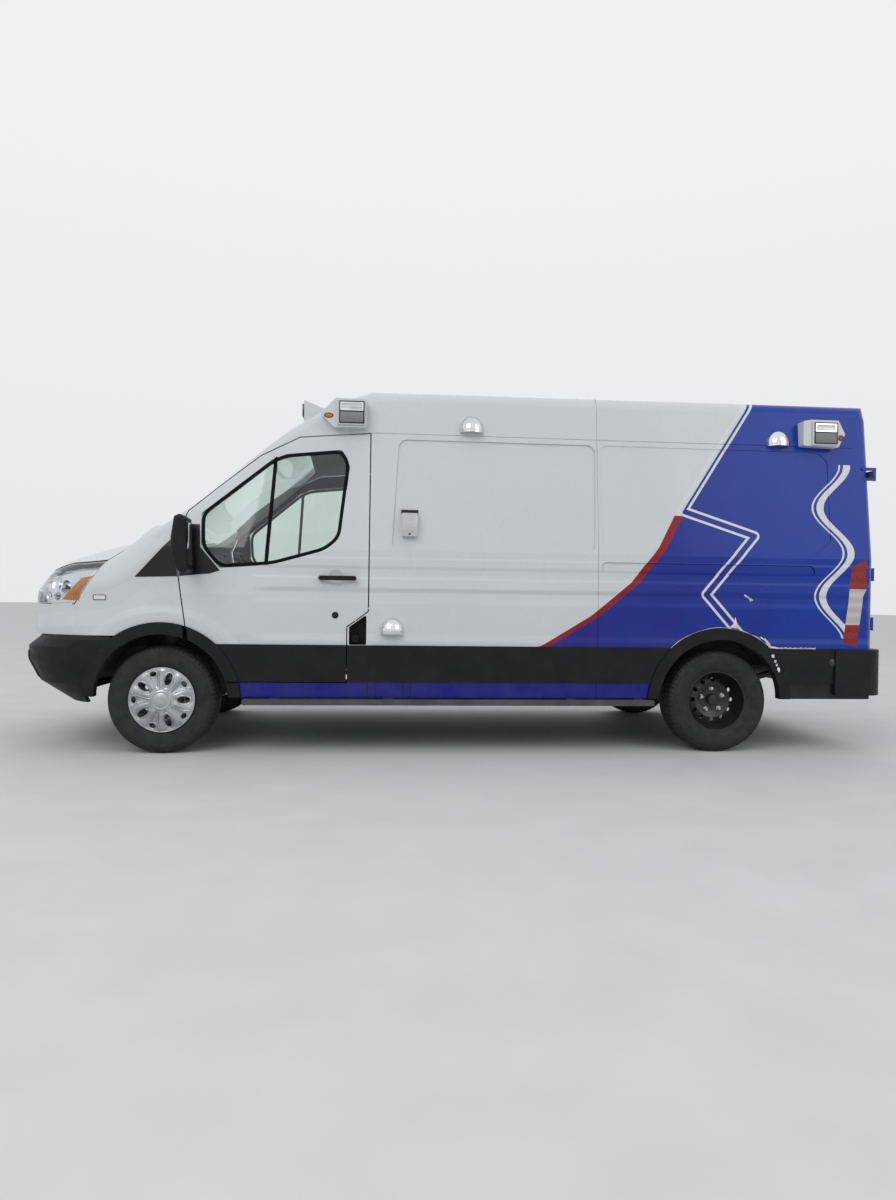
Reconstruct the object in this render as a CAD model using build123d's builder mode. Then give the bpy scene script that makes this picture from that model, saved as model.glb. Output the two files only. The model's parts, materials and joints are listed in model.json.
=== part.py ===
"""Van ambulance: a long-wheelbase, raised-roof panel van with single rear wheels.

Millimetres. +Z is up and z = 0 is the ground. The nose points to -X, and the driver's side is -Y.
Along the van, places are written as stations: the distance behind the front bumper's foremost point.
Left-hand pieces are modelled, and the right-hand ones are mirrored from them.
"""

import os

from build123d import *

# Overall sizes
front_overhang = 1023
wheelbase = 3750
rear_overhang = 1208
mirror_span = 2474
wall = 45
thin_wall = 12
seam = 8
door_rear_seam = 13
seat_gap = 0.3

# Heights of the body's lines above the ground
sill_low = 372
sill_top = 478
cladding_top = 722
nose_low = 770
belt = 1350
door_top = 2135
gutter = 2350
floor_top = 720
floor_thickness = 50

# Wheels
tyre_radius = 352
tyre_width = 235
rim_radius = 206
track_half = 866
hub_height = tyre_radius
arch_radius = 430
flare_width = 78
flare_proud = 16
press_depth = 9
groove_depth = 4
groove_width = 5
cladding_proud = 9
kingpin_half = 765
hub_radius = 37

# Stations
overall_length = front_overhang + wheelbase + rear_overhang
front_axle = front_overhang
rear_axle = front_overhang + wheelbase
nose_station = 105
cowl_station = front_axle + 37
b_pillar = front_axle + 1342
side_seam = b_pillar + 1539
tail_station = overall_length - 88

# Hinge lines
door_hinge_station = front_axle + 52
door_hinge_half = 985
rear_hinge_station = tail_station + 20
rear_hinge_half = 935
bonnet_hinge_station = 872
bonnet_hinge_height = 1463
bonnet_hinge_half = 300

# Half widths of the side at named heights, from the sill up to the belt
belt_width = 1012
side_levels = (
    (sill_low, 990),
    (sill_top, 1000),
    (cladding_top, 1012),
    (790, 1018),
    (1045, 1022),
    (1190, 1012),
    (belt, belt_width),
)
gutter_width = 896
widest = 1024

# Nose sections: station, half width, shoulder height, corner in, corner rise, crown height
nose_sections = (
    (nose_station, 660, 1000, 60, 70, 1120),
    (230, 830, 1010, 130, 165, 1250),
    (480, 965, 1030, 150, 225, 1375),
    (650, 995, 1050, 120, 225, 1425),
    (840, 1008, 1150, 180, 270, 1462),
    (cowl_station, belt_width, belt, 60, 60, 1500),
)

# Cab sections above the belt: station, half width at the belt, shoulder height and half width,
# corner in, corner rise, crown height
cab_sections = (
    (860, 815, 1400, 812, 12, 12, 1474),
    (1010, 1004, 1440, 985, 80, 56, 1600),
    (1182, belt_width, 1560, 974, 65, 60, 1745),
    (1443, belt_width, 1778, 955, 62, 58, 1955),
    (1708, belt_width, 2005, 935, 62, 62, 2170),
    (1888, belt_width, 2135, 920, 70, 70, 2290),
    (2089, belt_width, 2245, 908, 80, 80, 2390),
    (b_pillar, belt_width, gutter, gutter_width, 90, 90, 2482),
)

# Load-space sections: station, corner rise above the gutter, crown height
load_sections = (
    (b_pillar, 90, 2482),
    (b_pillar + 450, 96, 2520),
    (side_seam, 102, 2546),
    (tail_station, 108, 2560),
)
roof_corner = 90
tail_corner = 105
top_corner = 150

os.makedirs("parts", exist_ok=True)


def at(station):
    """The X of a station."""
    return station - overall_length / 2


def save(piece, name):
    """Labels a finished piece and writes its STEP file."""
    piece.label = name
    export_step(piece, f"parts/{name}.step")


# Forms: closed solids of the body's outside, or of its inside when inset is the wall


def section_lines(levels, corner_in, corner_rise, crown):
    """One closed cross-section: sides through the levels, a round corner each side, a crowned top."""
    top_z, top_y = levels[-1]
    knee = (top_y - corner_in, top_z + corner_rise)
    bend = (top_y - 0.27 * corner_in, top_z + 0.66 * corner_rise)
    right = [(y, z) for z, y in levels]
    left = [(-y, z) for y, z in reversed(right)]
    with BuildLine() as lines:
        Polyline(*right)
        ThreePointArc(right[-1], bend, knee)
        ThreePointArc(knee, (0, crown), (-knee[0], knee[1]))
        ThreePointArc((-knee[0], knee[1]), (-bend[0], bend[1]), left[0])
        Polyline(*left)
        Line(left[-1], right[0])
    return lines.line


def lowered(levels, inset):
    """An inner form starts below the sill, so that the body stays open underneath."""
    if inset <= 0:
        return levels
    return [(levels[0][0] - 2 * wall, levels[0][1])] + levels


def nose_form(inset):
    """The nose, from its front face to the cowl."""
    with BuildPart() as form:
        for station, half, shoulder, corner_in, corner_rise, crown in nose_sections:
            share = (shoulder - sill_low) / (belt - sill_low)
            levels = []
            for z, y in side_levels:
                levels.append((sill_low + (z - sill_low) * share, y * half / belt_width - inset))
            shift = 0.5 * inset if station < cowl_station else 0
            shift = inset if station == nose_station else shift
            low = lowered(levels, inset)
            with BuildSketch(Plane.YZ.offset(at(station + shift))):
                add(section_lines(low, corner_in, corner_rise - inset / 2, crown - inset))
                make_face()
        loft()
    return form.part


def cab_form(inset):
    """The cab above the belt, from the windscreen's foot to the B-pillars."""
    with BuildPart() as form:
        for station, foot, shoulder, half, corner_in, corner_rise, crown in cab_sections:
            levels = [(belt, foot - inset), (shoulder - 0.6 * inset, half - inset)]
            shift = 0 if station == b_pillar else 1.2 * inset
            low = lowered(levels, inset)
            with BuildSketch(Plane.YZ.offset(at(station + shift))):
                add(section_lines(low, corner_in, corner_rise, crown - inset))
                make_face()
        loft()
    return form.part


def lower_form(inset):
    """The cab below the belt, from the cowl to the B-pillars."""
    levels = lowered([(z, y - inset) for z, y in side_levels], inset)
    right = [(y, z) for z, y in levels]
    left = [(-y, z) for y, z in reversed(right)]
    with BuildPart() as form:
        with BuildSketch(Plane.YZ.offset(at(cowl_station))):
            with BuildLine():
                Polyline(*right, *left, close=True)
            make_face()
        extrude(amount=b_pillar - cowl_station)
    return form.part


def load_form(inset):
    """The load space, a straight tube whose roof rises a little towards the tail."""
    end = at(tail_station) - inset
    top = load_sections[-1][2] - inset
    corner_levels = (
        (-wall, widest),
        (belt, widest),
        (gutter, gutter_width + 10),
        (top + wall, gutter_width - 90),
    )
    with BuildPart() as corners:
        for z, half in corner_levels:
            with BuildSketch(Plane.XY.offset(z)) as plan:
                Rectangle(2 * end, 2 * (half - inset))
                fillet(plan.vertices(), tail_corner - inset)
        loft(ruled=True)
    with BuildSketch(Plane.XZ) as side:
        with Locations((0, top / 2 - wall)):
            Rectangle(2 * end, top + 2 * wall)
        fillet(side.vertices(), top_corner - inset)
    with BuildPart() as form:
        for station, corner_rise, crown in load_sections:
            levels = lowered([(z, y - inset) for z, y in side_levels], inset)
            levels.append((gutter - inset / 2, gutter_width - inset))
            x = end if station == tail_station else at(station)
            with BuildSketch(Plane.YZ.offset(x)):
                add(section_lines(levels, roof_corner, corner_rise - inset / 2, crown - inset))
                make_face()
        loft(ruled=True)
        add(corners.part, mode=Mode.INTERSECT)
        extrude(side.sketch, amount=2 * belt_width, both=True, mode=Mode.INTERSECT)
    return form.part


# Cutting blocks


def side_block(points, inner, outer, grow=0, radius=0):
    """A block through the left side. Its outline is a list of (station, height)."""
    with BuildPart() as block:
        with BuildSketch(Plane.XZ.offset(inner)) as profile:
            with BuildLine():
                Polyline(*[(at(station), z) for station, z in points], close=True)
            make_face()
            if radius:
                fillet(profile.vertices(), radius)
            if grow:
                offset(amount=grow, kind=Kind.INTERSECTION)
        extrude(amount=outer - inner)
    return block.part


def side_box(front, rear, low, high, inner, outer, radius=0):
    """A rectangular block through the left side."""
    points = [(front, low), (rear, low), (rear, high), (front, high)]
    return side_block(points, inner, outer, 0, radius)


def rear_block(points, front, rear, grow=0, radius=0):
    """A block through the tail. Its outline is a list of (y, height)."""
    with BuildPart() as block:
        with BuildSketch(Plane.YZ.offset(at(front))) as profile:
            with BuildLine():
                Polyline(*points, close=True)
            make_face()
            if radius:
                fillet(profile.vertices(), radius)
            if grow:
                offset(amount=grow, kind=Kind.INTERSECTION)
        extrude(amount=rear - front)
    return block.part


def side_disc(station, height, radius, inner, outer):
    """A cylinder along Y on the left side."""
    with BuildPart() as disc:
        with BuildSketch(Plane.XZ.offset(inner)):
            with Locations((at(station), height)):
                Circle(radius)
        extrude(amount=outer - inner)
    return disc.part


def post(station, y, low, high, radius):
    """A cylinder along Z."""
    with BuildPart() as pin:
        with BuildSketch(Plane.XY.offset(low)):
            with Locations((at(station), y)):
                Circle(radius)
        extrude(amount=high - low)
    return pin.part


def mirrored(piece, name):
    """The right-hand copy of a left-hand piece, saved under its own name."""
    with BuildPart() as copy:
        add(mirror(piece, about=Plane.XZ, mode=Mode.PRIVATE))
    save(copy.part, name)
    return copy.part


beyond = 1300
inboard = 560
rear = tail_station + 40

with BuildPart() as cab_outside:
    add(nose_form(0))
    add(lower_form(0))
    add(cab_form(0))

with BuildPart() as cab_skin:
    add(cab_outside.part)
    add(nose_form(wall), mode=Mode.SUBTRACT)
    add(lower_form(wall), mode=Mode.SUBTRACT)
    add(cab_form(wall), mode=Mode.SUBTRACT)

with BuildPart() as thin_skin:
    add(cab_outside.part)
    add(nose_form(thin_wall), mode=Mode.SUBTRACT)
    add(lower_form(thin_wall), mode=Mode.SUBTRACT)
    add(cab_form(thin_wall), mode=Mode.SUBTRACT)

with BuildPart() as load_skin:
    add(load_form(0))
    add(load_form(wall), mode=Mode.SUBTRACT)

glass_inset = 6
glass_thickness = 8
with BuildPart() as glass_skin:
    add(lower_form(glass_inset))
    add(cab_form(glass_inset))
    add(lower_form(glass_inset + glass_thickness), mode=Mode.SUBTRACT)
    add(cab_form(glass_inset + glass_thickness), mode=Mode.SUBTRACT)

with BuildPart() as press_layer:
    add(load_form(0))
    add(load_form(press_depth), mode=Mode.SUBTRACT)

with BuildPart() as groove_layer:
    add(load_form(0))
    add(load_form(groove_depth), mode=Mode.SUBTRACT)

with BuildPart() as load_glass_skin:
    add(load_form(glass_inset))
    add(load_form(glass_inset + glass_thickness), mode=Mode.SUBTRACT)

# Outlines on the side, as station and height
door_rear = b_pillar - door_rear_seam
door_outline = (
    (front_axle + 185, 640),
    (front_axle + 158, 831),
    (front_axle + 110, 1157),
    (front_axle + 82, 1410),
    (front_axle + 160, 1587),
    (front_axle + 333, 1739),
    (front_axle + 615, 1963),
    (front_axle + 868, door_top - 40),
    (door_rear, door_top),
    (door_rear, 948),
    (door_rear - 140, 845),
    (door_rear - 140, sill_top),
    (front_axle + 185, sill_top),
)
door_window = (
    (front_axle + 247, 1354),
    (front_axle + 364, 1216),
    (front_axle + 704, 1244),
    (front_axle + 1048, 1343),
    (front_axle + 1142, 1428),
    (front_axle + 1198, 1909),
    (front_axle + 1145, 2022),
    (front_axle + 777, 1982),
    (front_axle + 686, 1942),
    (front_axle + 239, 1575),
)
bonnet_line = ((90, 1070), (253, 1188), (407, 1240), (656, 1262), (742, 1330), (838, 1424))
lamp_outline = ((130, 968), (463, 974), (652, 1250), (407, 1230), (253, 1178), (130, 1090))
tail_lamp_outline = (
    (tail_station - 244, 765),
    (tail_station - 142, 742),
    (tail_station - 101, 1095),
    (tail_station - 72, 1144),
    (tail_station - 75, 1356),
    (tail_station - 180, 1298),
)
rear_door_outline = (
    (-4, nose_low - 28),
    (-915, nose_low - 28),
    (-921, 1045),
    (-914, belt),
    (-820, 2250),
    (-745, 2330),
    (-4, 2330),
)

front_ring = side_disc(front_axle, hub_height, arch_radius + flare_width, inboard, beyond)
front_arch = side_disc(front_axle, hub_height, arch_radius, inboard, beyond)
rear_ring = side_disc(rear_axle, hub_height, arch_radius + flare_width, inboard, beyond)
rear_arch = side_disc(rear_axle, hub_height, arch_radius, inboard, beyond)
front_hole = side_disc(front_axle, hub_height, arch_radius + flare_width + seat_gap, inboard, beyond)
rear_hole = side_disc(rear_axle, hub_height, arch_radius + flare_width + seat_gap, inboard, beyond)
door_hole = side_block(door_outline, inboard, beyond, seam)

# Front doors: the slab with its window frame, and two goosenecks that reach round to the hinge pins
hinge_heights = (1010, 1300)
barrel_radius = 12
pin_radius = 7
hinge_half_height = 22


def gooseneck(height, reach):
    """A hinge arm in plan, from the pin round the wing's edge to the door's inner face."""
    pin = (at(door_hinge_station), -door_hinge_half)
    path = (
        (pin[0], pin[1]),
        (pin[0] + 8, pin[1] + reach),
        (pin[0] + reach + 8, pin[1] + reach),
        (pin[0] + reach + 48, pin[1] + 3),
    )
    with BuildPart() as arm:
        with BuildSketch(Plane.XY.offset(height - hinge_half_height)):
            with BuildLine() as route:
                Polyline(*path)
            trace(route.line, line_width=14)
        extrude(amount=2 * hinge_half_height)
        add(post(door_hinge_station, -door_hinge_half, height - hinge_half_height,
                 height + hinge_half_height, barrel_radius))
        add(post(door_hinge_station, -door_hinge_half, height - hinge_half_height,
                 height + hinge_half_height, pin_radius + seat_gap), mode=Mode.SUBTRACT)
    return arm.part


# Behind its outer sheet the door's front face steps back, so that it clears the wing as it swings
lip_depth = 4
lip_step = 8
front_edge = door_outline[1:5]
lip_strip = [(station - 12, z) for station, z in front_edge]
lip_strip += [(station + lip_step, z) for station, z in reversed(front_edge)]
with BuildPart() as door_lip_cut:
    add(lower_form(lip_depth))
    add(cab_form(lip_depth))
    add(side_block(lip_strip, inboard, beyond), mode=Mode.INTERSECT)

bowl_radius = 110
bowl_depth = 14
with BuildPart() as door_left:
    add(cab_skin.part)
    add(side_block(door_outline, inboard, beyond), mode=Mode.INTERSECT)
    add(front_hole, mode=Mode.SUBTRACT)
    add(side_block(door_window, inboard, beyond, 0, 30), mode=Mode.SUBTRACT)
    add(door_lip_cut.part, mode=Mode.SUBTRACT)
    with Locations((at(door_rear - 212), -belt_width - bowl_radius + bowl_depth, 1166)):
        Sphere(bowl_radius, mode=Mode.SUBTRACT)
    add(gooseneck(hinge_heights[0], 82))
    add(gooseneck(hinge_heights[1], 46))
save(door_left.part, "door_left")
mirrored(door_left.part, "door_right")

with BuildPart() as door_glass_left:
    add(glass_skin.part)
    add(side_block(door_window, inboard, beyond, -seat_gap, 30), mode=Mode.INTERSECT)
save(door_glass_left.part, "door_glass_left")
mirrored(door_glass_left.part, "door_glass_right")

# Door trim: lower cladding with the rear part of the arch flare, the mirror and the handle
with BuildPart() as cladding_layer:
    add(nose_form(-cladding_proud))
    add(lower_form(-cladding_proud))
    add(cab_outside.part, mode=Mode.SUBTRACT)

with BuildPart() as flare_layer:
    add(nose_form(-flare_proud))
    add(lower_form(-flare_proud))
    add(nose_form(wall), mode=Mode.SUBTRACT)
    add(lower_form(wall), mode=Mode.SUBTRACT)

flare_low = sill_low
with BuildPart() as front_flare:
    add(flare_layer.part)
    add(front_ring, mode=Mode.INTERSECT)
    add(front_arch, mode=Mode.SUBTRACT)
    add(side_box(0, b_pillar, 0, flare_low, inboard, beyond), mode=Mode.SUBTRACT)

door_flare_zone = (
    (front_axle + 204, sill_top),
    (front_axle + 185, 640),
    (front_axle + 166, 831),
    (front_axle + 700, 831),
    (front_axle + 700, sill_top),
)
with BuildPart() as door_cladding:
    add(cladding_layer.part)
    add(side_box(front_axle + 185, door_rear - 140, sill_top, cladding_top, inboard, beyond),
        mode=Mode.INTERSECT)
    add(front_hole, mode=Mode.SUBTRACT)
with BuildPart() as door_flare:
    add(front_flare.part)
    add(side_block(door_flare_zone, inboard, beyond), mode=Mode.INTERSECT)

mirror_outer = mirror_span / 2
mirror_outline = ((1131, 1397), (1150, 1530), (1185, 1545), (1222, 1520), (1237, 1200), (1222, 1177),
                  (1175, 1190), (1140, 1290))
with BuildPart() as mirror_left:
    add(side_block(mirror_outline, belt_width + 60, mirror_outer, 0, 12))
    fillet(mirror_left.faces().sort_by(Axis.Y)[0].edges(), 20)
    add(side_box(1150, 1225, 1225, 1290, belt_width + 0.2, belt_width + 61, 10))
with BuildPart() as handle_left:
    with BuildSketch(Plane.XZ.offset(belt_width + 30)):
        with Locations((at(door_rear - 200), 1163)):
            SlotOverall(247, 30)
    extrude(amount=14)
    for spot in (door_rear - 310, door_rear - 95):
        add(side_box(spot - 12, spot + 12, 1152, 1174, belt_width - 8, belt_width + 31))
    add(lower_form(-seat_gap), mode=Mode.SUBTRACT)
with BuildPart() as door_trim_left:
    add(door_cladding.part)
    add(door_flare.part)
    add(mirror_left.part)
    add(handle_left.part)
save(door_trim_left.part, "door_trim_left")
mirrored(door_trim_left.part, "door_trim_right")

# Bonnet
bonnet_rear = bonnet_line[-1][0]
bonnet_zone = [*bonnet_line, (bonnet_rear, 1600), (bonnet_line[0][0], 1600)]
bonnet_barrel = 7
bonnet_pin = 4
with BuildPart() as bonnet_arm:
    add(side_box(bonnet_rear - 30, bonnet_hinge_station, bonnet_hinge_height - 19, bonnet_hinge_height - 3,
                 bonnet_hinge_half - 8, bonnet_hinge_half + 8))
    add(side_disc(bonnet_hinge_station, bonnet_hinge_height, bonnet_barrel, bonnet_hinge_half - 8,
                  bonnet_hinge_half + 8))
    add(side_disc(bonnet_hinge_station, bonnet_hinge_height, bonnet_pin + seat_gap, bonnet_hinge_half - 9,
                  bonnet_hinge_half + 9), mode=Mode.SUBTRACT)
with BuildPart() as bonnet:
    add(cab_skin.part)
    add(side_block(bonnet_zone, -beyond, beyond), mode=Mode.INTERSECT)
    add(bonnet_arm.part)
    add(mirror(bonnet_arm.part, about=Plane.XZ, mode=Mode.PRIVATE))
save(bonnet.part, "bonnet")

# Nose panel, wings, headlamps and grille
below_bonnet = [(station, z - seam) for station, z in bonnet_line]
grille_outline = ((-430, 800), (430, 800), (545, 1045), (-545, 1045))
with BuildPart() as nose_zone:
    add(side_block([(80, nose_low), (494, nose_low), (466, 966), (80, 966)], -beyond, beyond))
    add(side_block([(80, 960), (300, 960), (300, 1206), (253, 1180), (90, 1062), (80, 1062)], -600, 600))
with BuildPart() as nose_panel:
    add(thin_skin.part)
    add(nose_zone.part, mode=Mode.INTERSECT)
    add(rear_block(grille_outline, 0, 300), mode=Mode.SUBTRACT)
save(nose_panel.part, "nose_panel")

with BuildPart() as grille:
    add(thin_skin.part)
    add(rear_block(grille_outline, 0, 300, -seat_gap), mode=Mode.INTERSECT)
    for step in range(4):
        low = 822 + 56 * step
        cut = ((-400 - 20 * step, low), (400 + 20 * step, low), (410 + 20 * step, low + 34),
               (-410 - 20 * step, low + 34))
        add(rear_block(cut, 0, 300), mode=Mode.SUBTRACT)
save(grille.part, "grille")

lens_thickness = 4
lamp_back = 38
with BuildPart() as lamp_lens:
    add(nose_form(0))
    add(nose_form(lens_thickness), mode=Mode.SUBTRACT)
    add(side_block(lamp_outline, 600 + seat_gap, beyond), mode=Mode.INTERSECT)
with BuildPart() as headlamps:
    add(lamp_lens.part)
    mirror(lamp_lens.part, about=Plane.XZ)
save(headlamps.part, "headlamps")

with BuildPart() as lamp_room:
    add(nose_form(0))
    add(nose_form(lamp_back), mode=Mode.SUBTRACT)
    add(side_block(lamp_outline, 606, beyond, -5), mode=Mode.INTERSECT)
with BuildPart() as lamp_housing:
    add(nose_form(lens_thickness + seat_gap))
    add(nose_form(wall), mode=Mode.SUBTRACT)
    add(side_block(lamp_outline, 600 + seat_gap, beyond), mode=Mode.INTERSECT)
    add(lamp_room.part, mode=Mode.SUBTRACT)
with BuildPart() as headlamp_housings:
    add(lamp_housing.part)
    mirror(lamp_housing.part, about=Plane.XZ)
save(headlamp_housings.part, "headlamp_housings")

wing_outline = (
    (494.3, nose_low),
    (466.3, 967),
    (655, 1254),
    (742, 1322),
    (846, 1416),
    (1003, 1480),
    (front_axle + 74, 1408),
    (front_axle + 240, 1408),
    (front_axle + 240, nose_low),
)
with BuildPart() as fender_left:
    add(thin_skin.part)
    add(side_block(wing_outline, inboard, beyond), mode=Mode.INTERSECT)
    add(door_hole, mode=Mode.SUBTRACT)
    add(front_hole, mode=Mode.SUBTRACT)
save(fender_left.part, "fender_left")
mirrored(fender_left.part, "fender_right")

# Cab frame: screen pillars, front roof and sills, in one piece
windscreen_plan = ((900, 800), (985, 890), (1182, 895), (1708, 845), (1850, 790), (1850, -790), (1708, -845),
                   (1182, -895), (985, -890), (900, -800))


def screen_block(grow):
    """The windscreen's outline in plan, as a block through the roof."""
    with BuildPart() as block:
        with BuildSketch(Plane.XY.offset(1380)) as profile:
            with BuildLine():
                Polyline(*[(at(station), y) for station, y in windscreen_plan], close=True)
            make_face()
            fillet(profile.vertices(), 40)
            if grow:
                offset(amount=grow)
        extrude(amount=1200)
    return block.part


cab_zone = (
    (846, 1416 + seat_gap),
    (1003, 1480 + seat_gap),
    (front_axle + 74, 1408 + seat_gap),
    (front_axle + 260, 1408 + seat_gap),
    (front_axle + 260, sill_low - 5),
    (b_pillar, sill_low - 5),
    (b_pillar, 2700),
    (846, 2700),
)
fuel_pocket = ((door_rear - 122, 724), (door_rear - 122, 842), (door_rear - 8, 926), (door_rear - 8, 724))
with BuildPart() as cab_frame:
    add(cab_skin.part)
    add(side_block(cab_zone, -beyond, beyond), mode=Mode.INTERSECT)
    add(screen_block(0), mode=Mode.SUBTRACT)
    for hole in (door_hole, front_hole):
        add(hole, mode=Mode.SUBTRACT)
        add(mirror(hole, about=Plane.XZ, mode=Mode.PRIVATE), mode=Mode.SUBTRACT)
    add(side_block(fuel_pocket, inboard, beyond, 0, 10), mode=Mode.SUBTRACT)
    for y in (-bonnet_hinge_half, bonnet_hinge_half):
        add(side_box(bonnet_rear, bonnet_hinge_station + 13, 1380, 1500, y - 15, y + 15), mode=Mode.SUBTRACT)
        add(side_disc(bonnet_hinge_station, bonnet_hinge_height, bonnet_pin, y - 18, y + 18))
save(cab_frame.part, "cab_frame")

with BuildPart() as windscreen:
    add(cab_form(glass_inset))
    add(cab_form(glass_inset + glass_thickness), mode=Mode.SUBTRACT)
    add(screen_block(-seat_gap), mode=Mode.INTERSECT)
    wing_block = side_block(wing_outline, inboard, beyond, seat_gap)
    add(wing_block, mode=Mode.SUBTRACT)
    add(mirror(wing_block, about=Plane.XZ, mode=Mode.PRIVATE), mode=Mode.SUBTRACT)
save(windscreen.part, "windscreen")

with BuildPart() as fuel_filler:
    add(side_block(fuel_pocket, 920, 1008, -seat_gap, 10))
    add(side_block(fuel_pocket, 926, 1015, -4, 10), mode=Mode.SUBTRACT)
    add(side_disc(door_rear - 82, 766, 26, 925, 968))
save(fuel_filler.part, "fuel_filler")

# Load space: two sides, the roof, the sliding door
with BuildPart() as rear_doors_hole:
    add(rear_block(rear_door_outline, tail_station - 4 * wall, rear, seam))
    mirror(rear_doors_hole.part, about=Plane.XZ)
    with BuildSketch(Plane.YZ.offset(at(tail_station - 4 * wall))):
        with Locations((0, (nose_low - 36 + 2338) / 2)):
            Rectangle(40, 2338 - nose_low + 36)
    extrude(amount=4 * wall + 40)

tail_lamp_hole = side_block(tail_lamp_outline, 700, beyond, 0, 12)


def rear_hinge(height, reach):
    """A fixed knuckle pair with its pin, on brackets that reach forward to the body's corner."""
    x = at(rear_hinge_station)
    with BuildPart() as knuckles:
        for low in (height - 46, height + 26):
            add(post(rear_hinge_station, -rear_hinge_half, low, low + 20, 11))
            with BuildSketch(Plane.XY.offset(low)):
                with BuildLine():
                    Polyline((x, -rear_hinge_half), (x - reach, -rear_hinge_half),
                             (x - reach, -rear_hinge_half - 11), (x, -rear_hinge_half - 11), close=True)
                make_face()
            extrude(amount=20)
        add(post(rear_hinge_station, -rear_hinge_half, height - 46, height + 46, 6))
    return knuckles.part


# Rear hinges: height, and how far their brackets reach forward
rear_hinges = ((900, 40), (1250, 40), (1960, 100))

# Pressings on the sides: the long panel, the band under the belt, and the joints between the sheets
joint_height = 2140
panel_press = ((b_pillar + 137, belt), (side_seam - 24, belt), (side_seam - 12, 2105), (b_pillar + 180, 2105))
band_press = ((side_seam + 24, 1226), (rear_axle + 690, 1226), (rear_axle + 650, 1300),
              (side_seam + 24, 1300))
rear_press = ((side_seam + 24, belt + 30), (rear_axle + 670, belt + 30), (rear_axle + 790, belt + 120),
              (rear_axle + 790, 2040), (rear_axle + 720, 2105), (side_seam + 24, 2105))
with BuildPart() as long_panel:
    add(press_layer.part)
    add(side_block(panel_press, inboard, beyond, 0, 60), mode=Mode.INTERSECT)
with BuildPart() as low_band:
    add(press_layer.part)
    add(side_block(band_press, inboard, beyond, 0, 30), mode=Mode.INTERSECT)
with BuildPart() as rear_panel:
    add(groove_layer.part)
    add(side_block(rear_press, inboard, beyond, 0, 50), mode=Mode.INTERSECT)
with BuildPart() as upright_joint:
    add(groove_layer.part)
    add(side_box(side_seam - groove_width / 2, side_seam + groove_width / 2, 0, 3000, 0, beyond),
        mode=Mode.INTERSECT)
with BuildPart() as long_joint:
    add(groove_layer.part)
    add(side_box(b_pillar, tail_station - 150, joint_height, joint_height + groove_width, inboard, beyond),
        mode=Mode.INTERSECT)
side_marks = (long_panel.part, low_band.part, rear_panel.part, upright_joint.part, long_joint.part)

with BuildPart() as side_left:
    add(load_skin.part)
    add(side_box(b_pillar, rear, sill_low - 5, gutter, 0, beyond), mode=Mode.INTERSECT)
    add(rear_doors_hole.part, mode=Mode.SUBTRACT)
    add(rear_hole, mode=Mode.SUBTRACT)
    add(tail_lamp_hole, mode=Mode.SUBTRACT)
    for mark in side_marks:
        add(mark, mode=Mode.SUBTRACT)
    for height, reach in rear_hinges:
        add(rear_hinge(height, reach))
save(side_left.part, "side_left")

slide_front = b_pillar + 22
slide_low = sill_top + 2
slide_high = door_top + 15
slide_points = ((slide_front, slide_low), (side_seam, slide_low), (side_seam, slide_high),
                (slide_front, slide_high))
slide_window = side_box(slide_front + 180, side_seam - 180, belt + 60, door_top - 130, inboard, beyond, 70)
with BuildPart() as side_right:
    add(mirror(side_left.part, about=Plane.XZ, mode=Mode.PRIVATE))
    slide_hole = side_block(slide_points, inboard, beyond, 0, 40)
    add(mirror(slide_hole, about=Plane.XZ, mode=Mode.PRIVATE), mode=Mode.SUBTRACT)
save(side_right.part, "side_right")

with BuildPart() as sliding_door_left:
    add(load_skin.part)
    add(side_block(slide_points, inboard, beyond, -seat_gap, 40), mode=Mode.INTERSECT)
    add(slide_window, mode=Mode.SUBTRACT)
    add(long_panel.part, mode=Mode.SUBTRACT)
mirrored(sliding_door_left.part, "sliding_door")
with BuildPart() as sliding_glass_left:
    add(load_glass_skin.part)
    add(slide_window, mode=Mode.INTERSECT)
mirrored(sliding_glass_left.part, "sliding_door_glass")

# Long shallow troughs stiffen the roof
trough_pitch = 240
trough_width = 90
with BuildPart() as troughs:
    with BuildSketch(Plane.XY.offset(gutter)):
        with Locations((at((b_pillar + 250 + side_seam - 60) / 2), 0)):
            with GridLocations(0, trough_pitch, 1, 5):
                SlotOverall(side_seam - b_pillar - 310, trough_width)
        with Locations((at((side_seam + 60 + tail_station - 300) / 2), 0)):
            with GridLocations(0, trough_pitch, 1, 5):
                SlotOverall(tail_station - side_seam - 360, trough_width)
    extrude(amount=400)
with BuildPart() as roof_ribs:
    add(groove_layer.part)
    add(troughs.part, mode=Mode.INTERSECT)
with BuildPart() as roof:
    add(load_skin.part)
    add(side_box(b_pillar, rear, gutter, 2700, -beyond, beyond), mode=Mode.INTERSECT)
    add(upright_joint.part, mode=Mode.SUBTRACT)
    add(mirror(upright_joint.part, about=Plane.XZ, mode=Mode.PRIVATE), mode=Mode.SUBTRACT)
    add(roof_ribs.part, mode=Mode.SUBTRACT)
save(roof.part, "roof")

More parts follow.
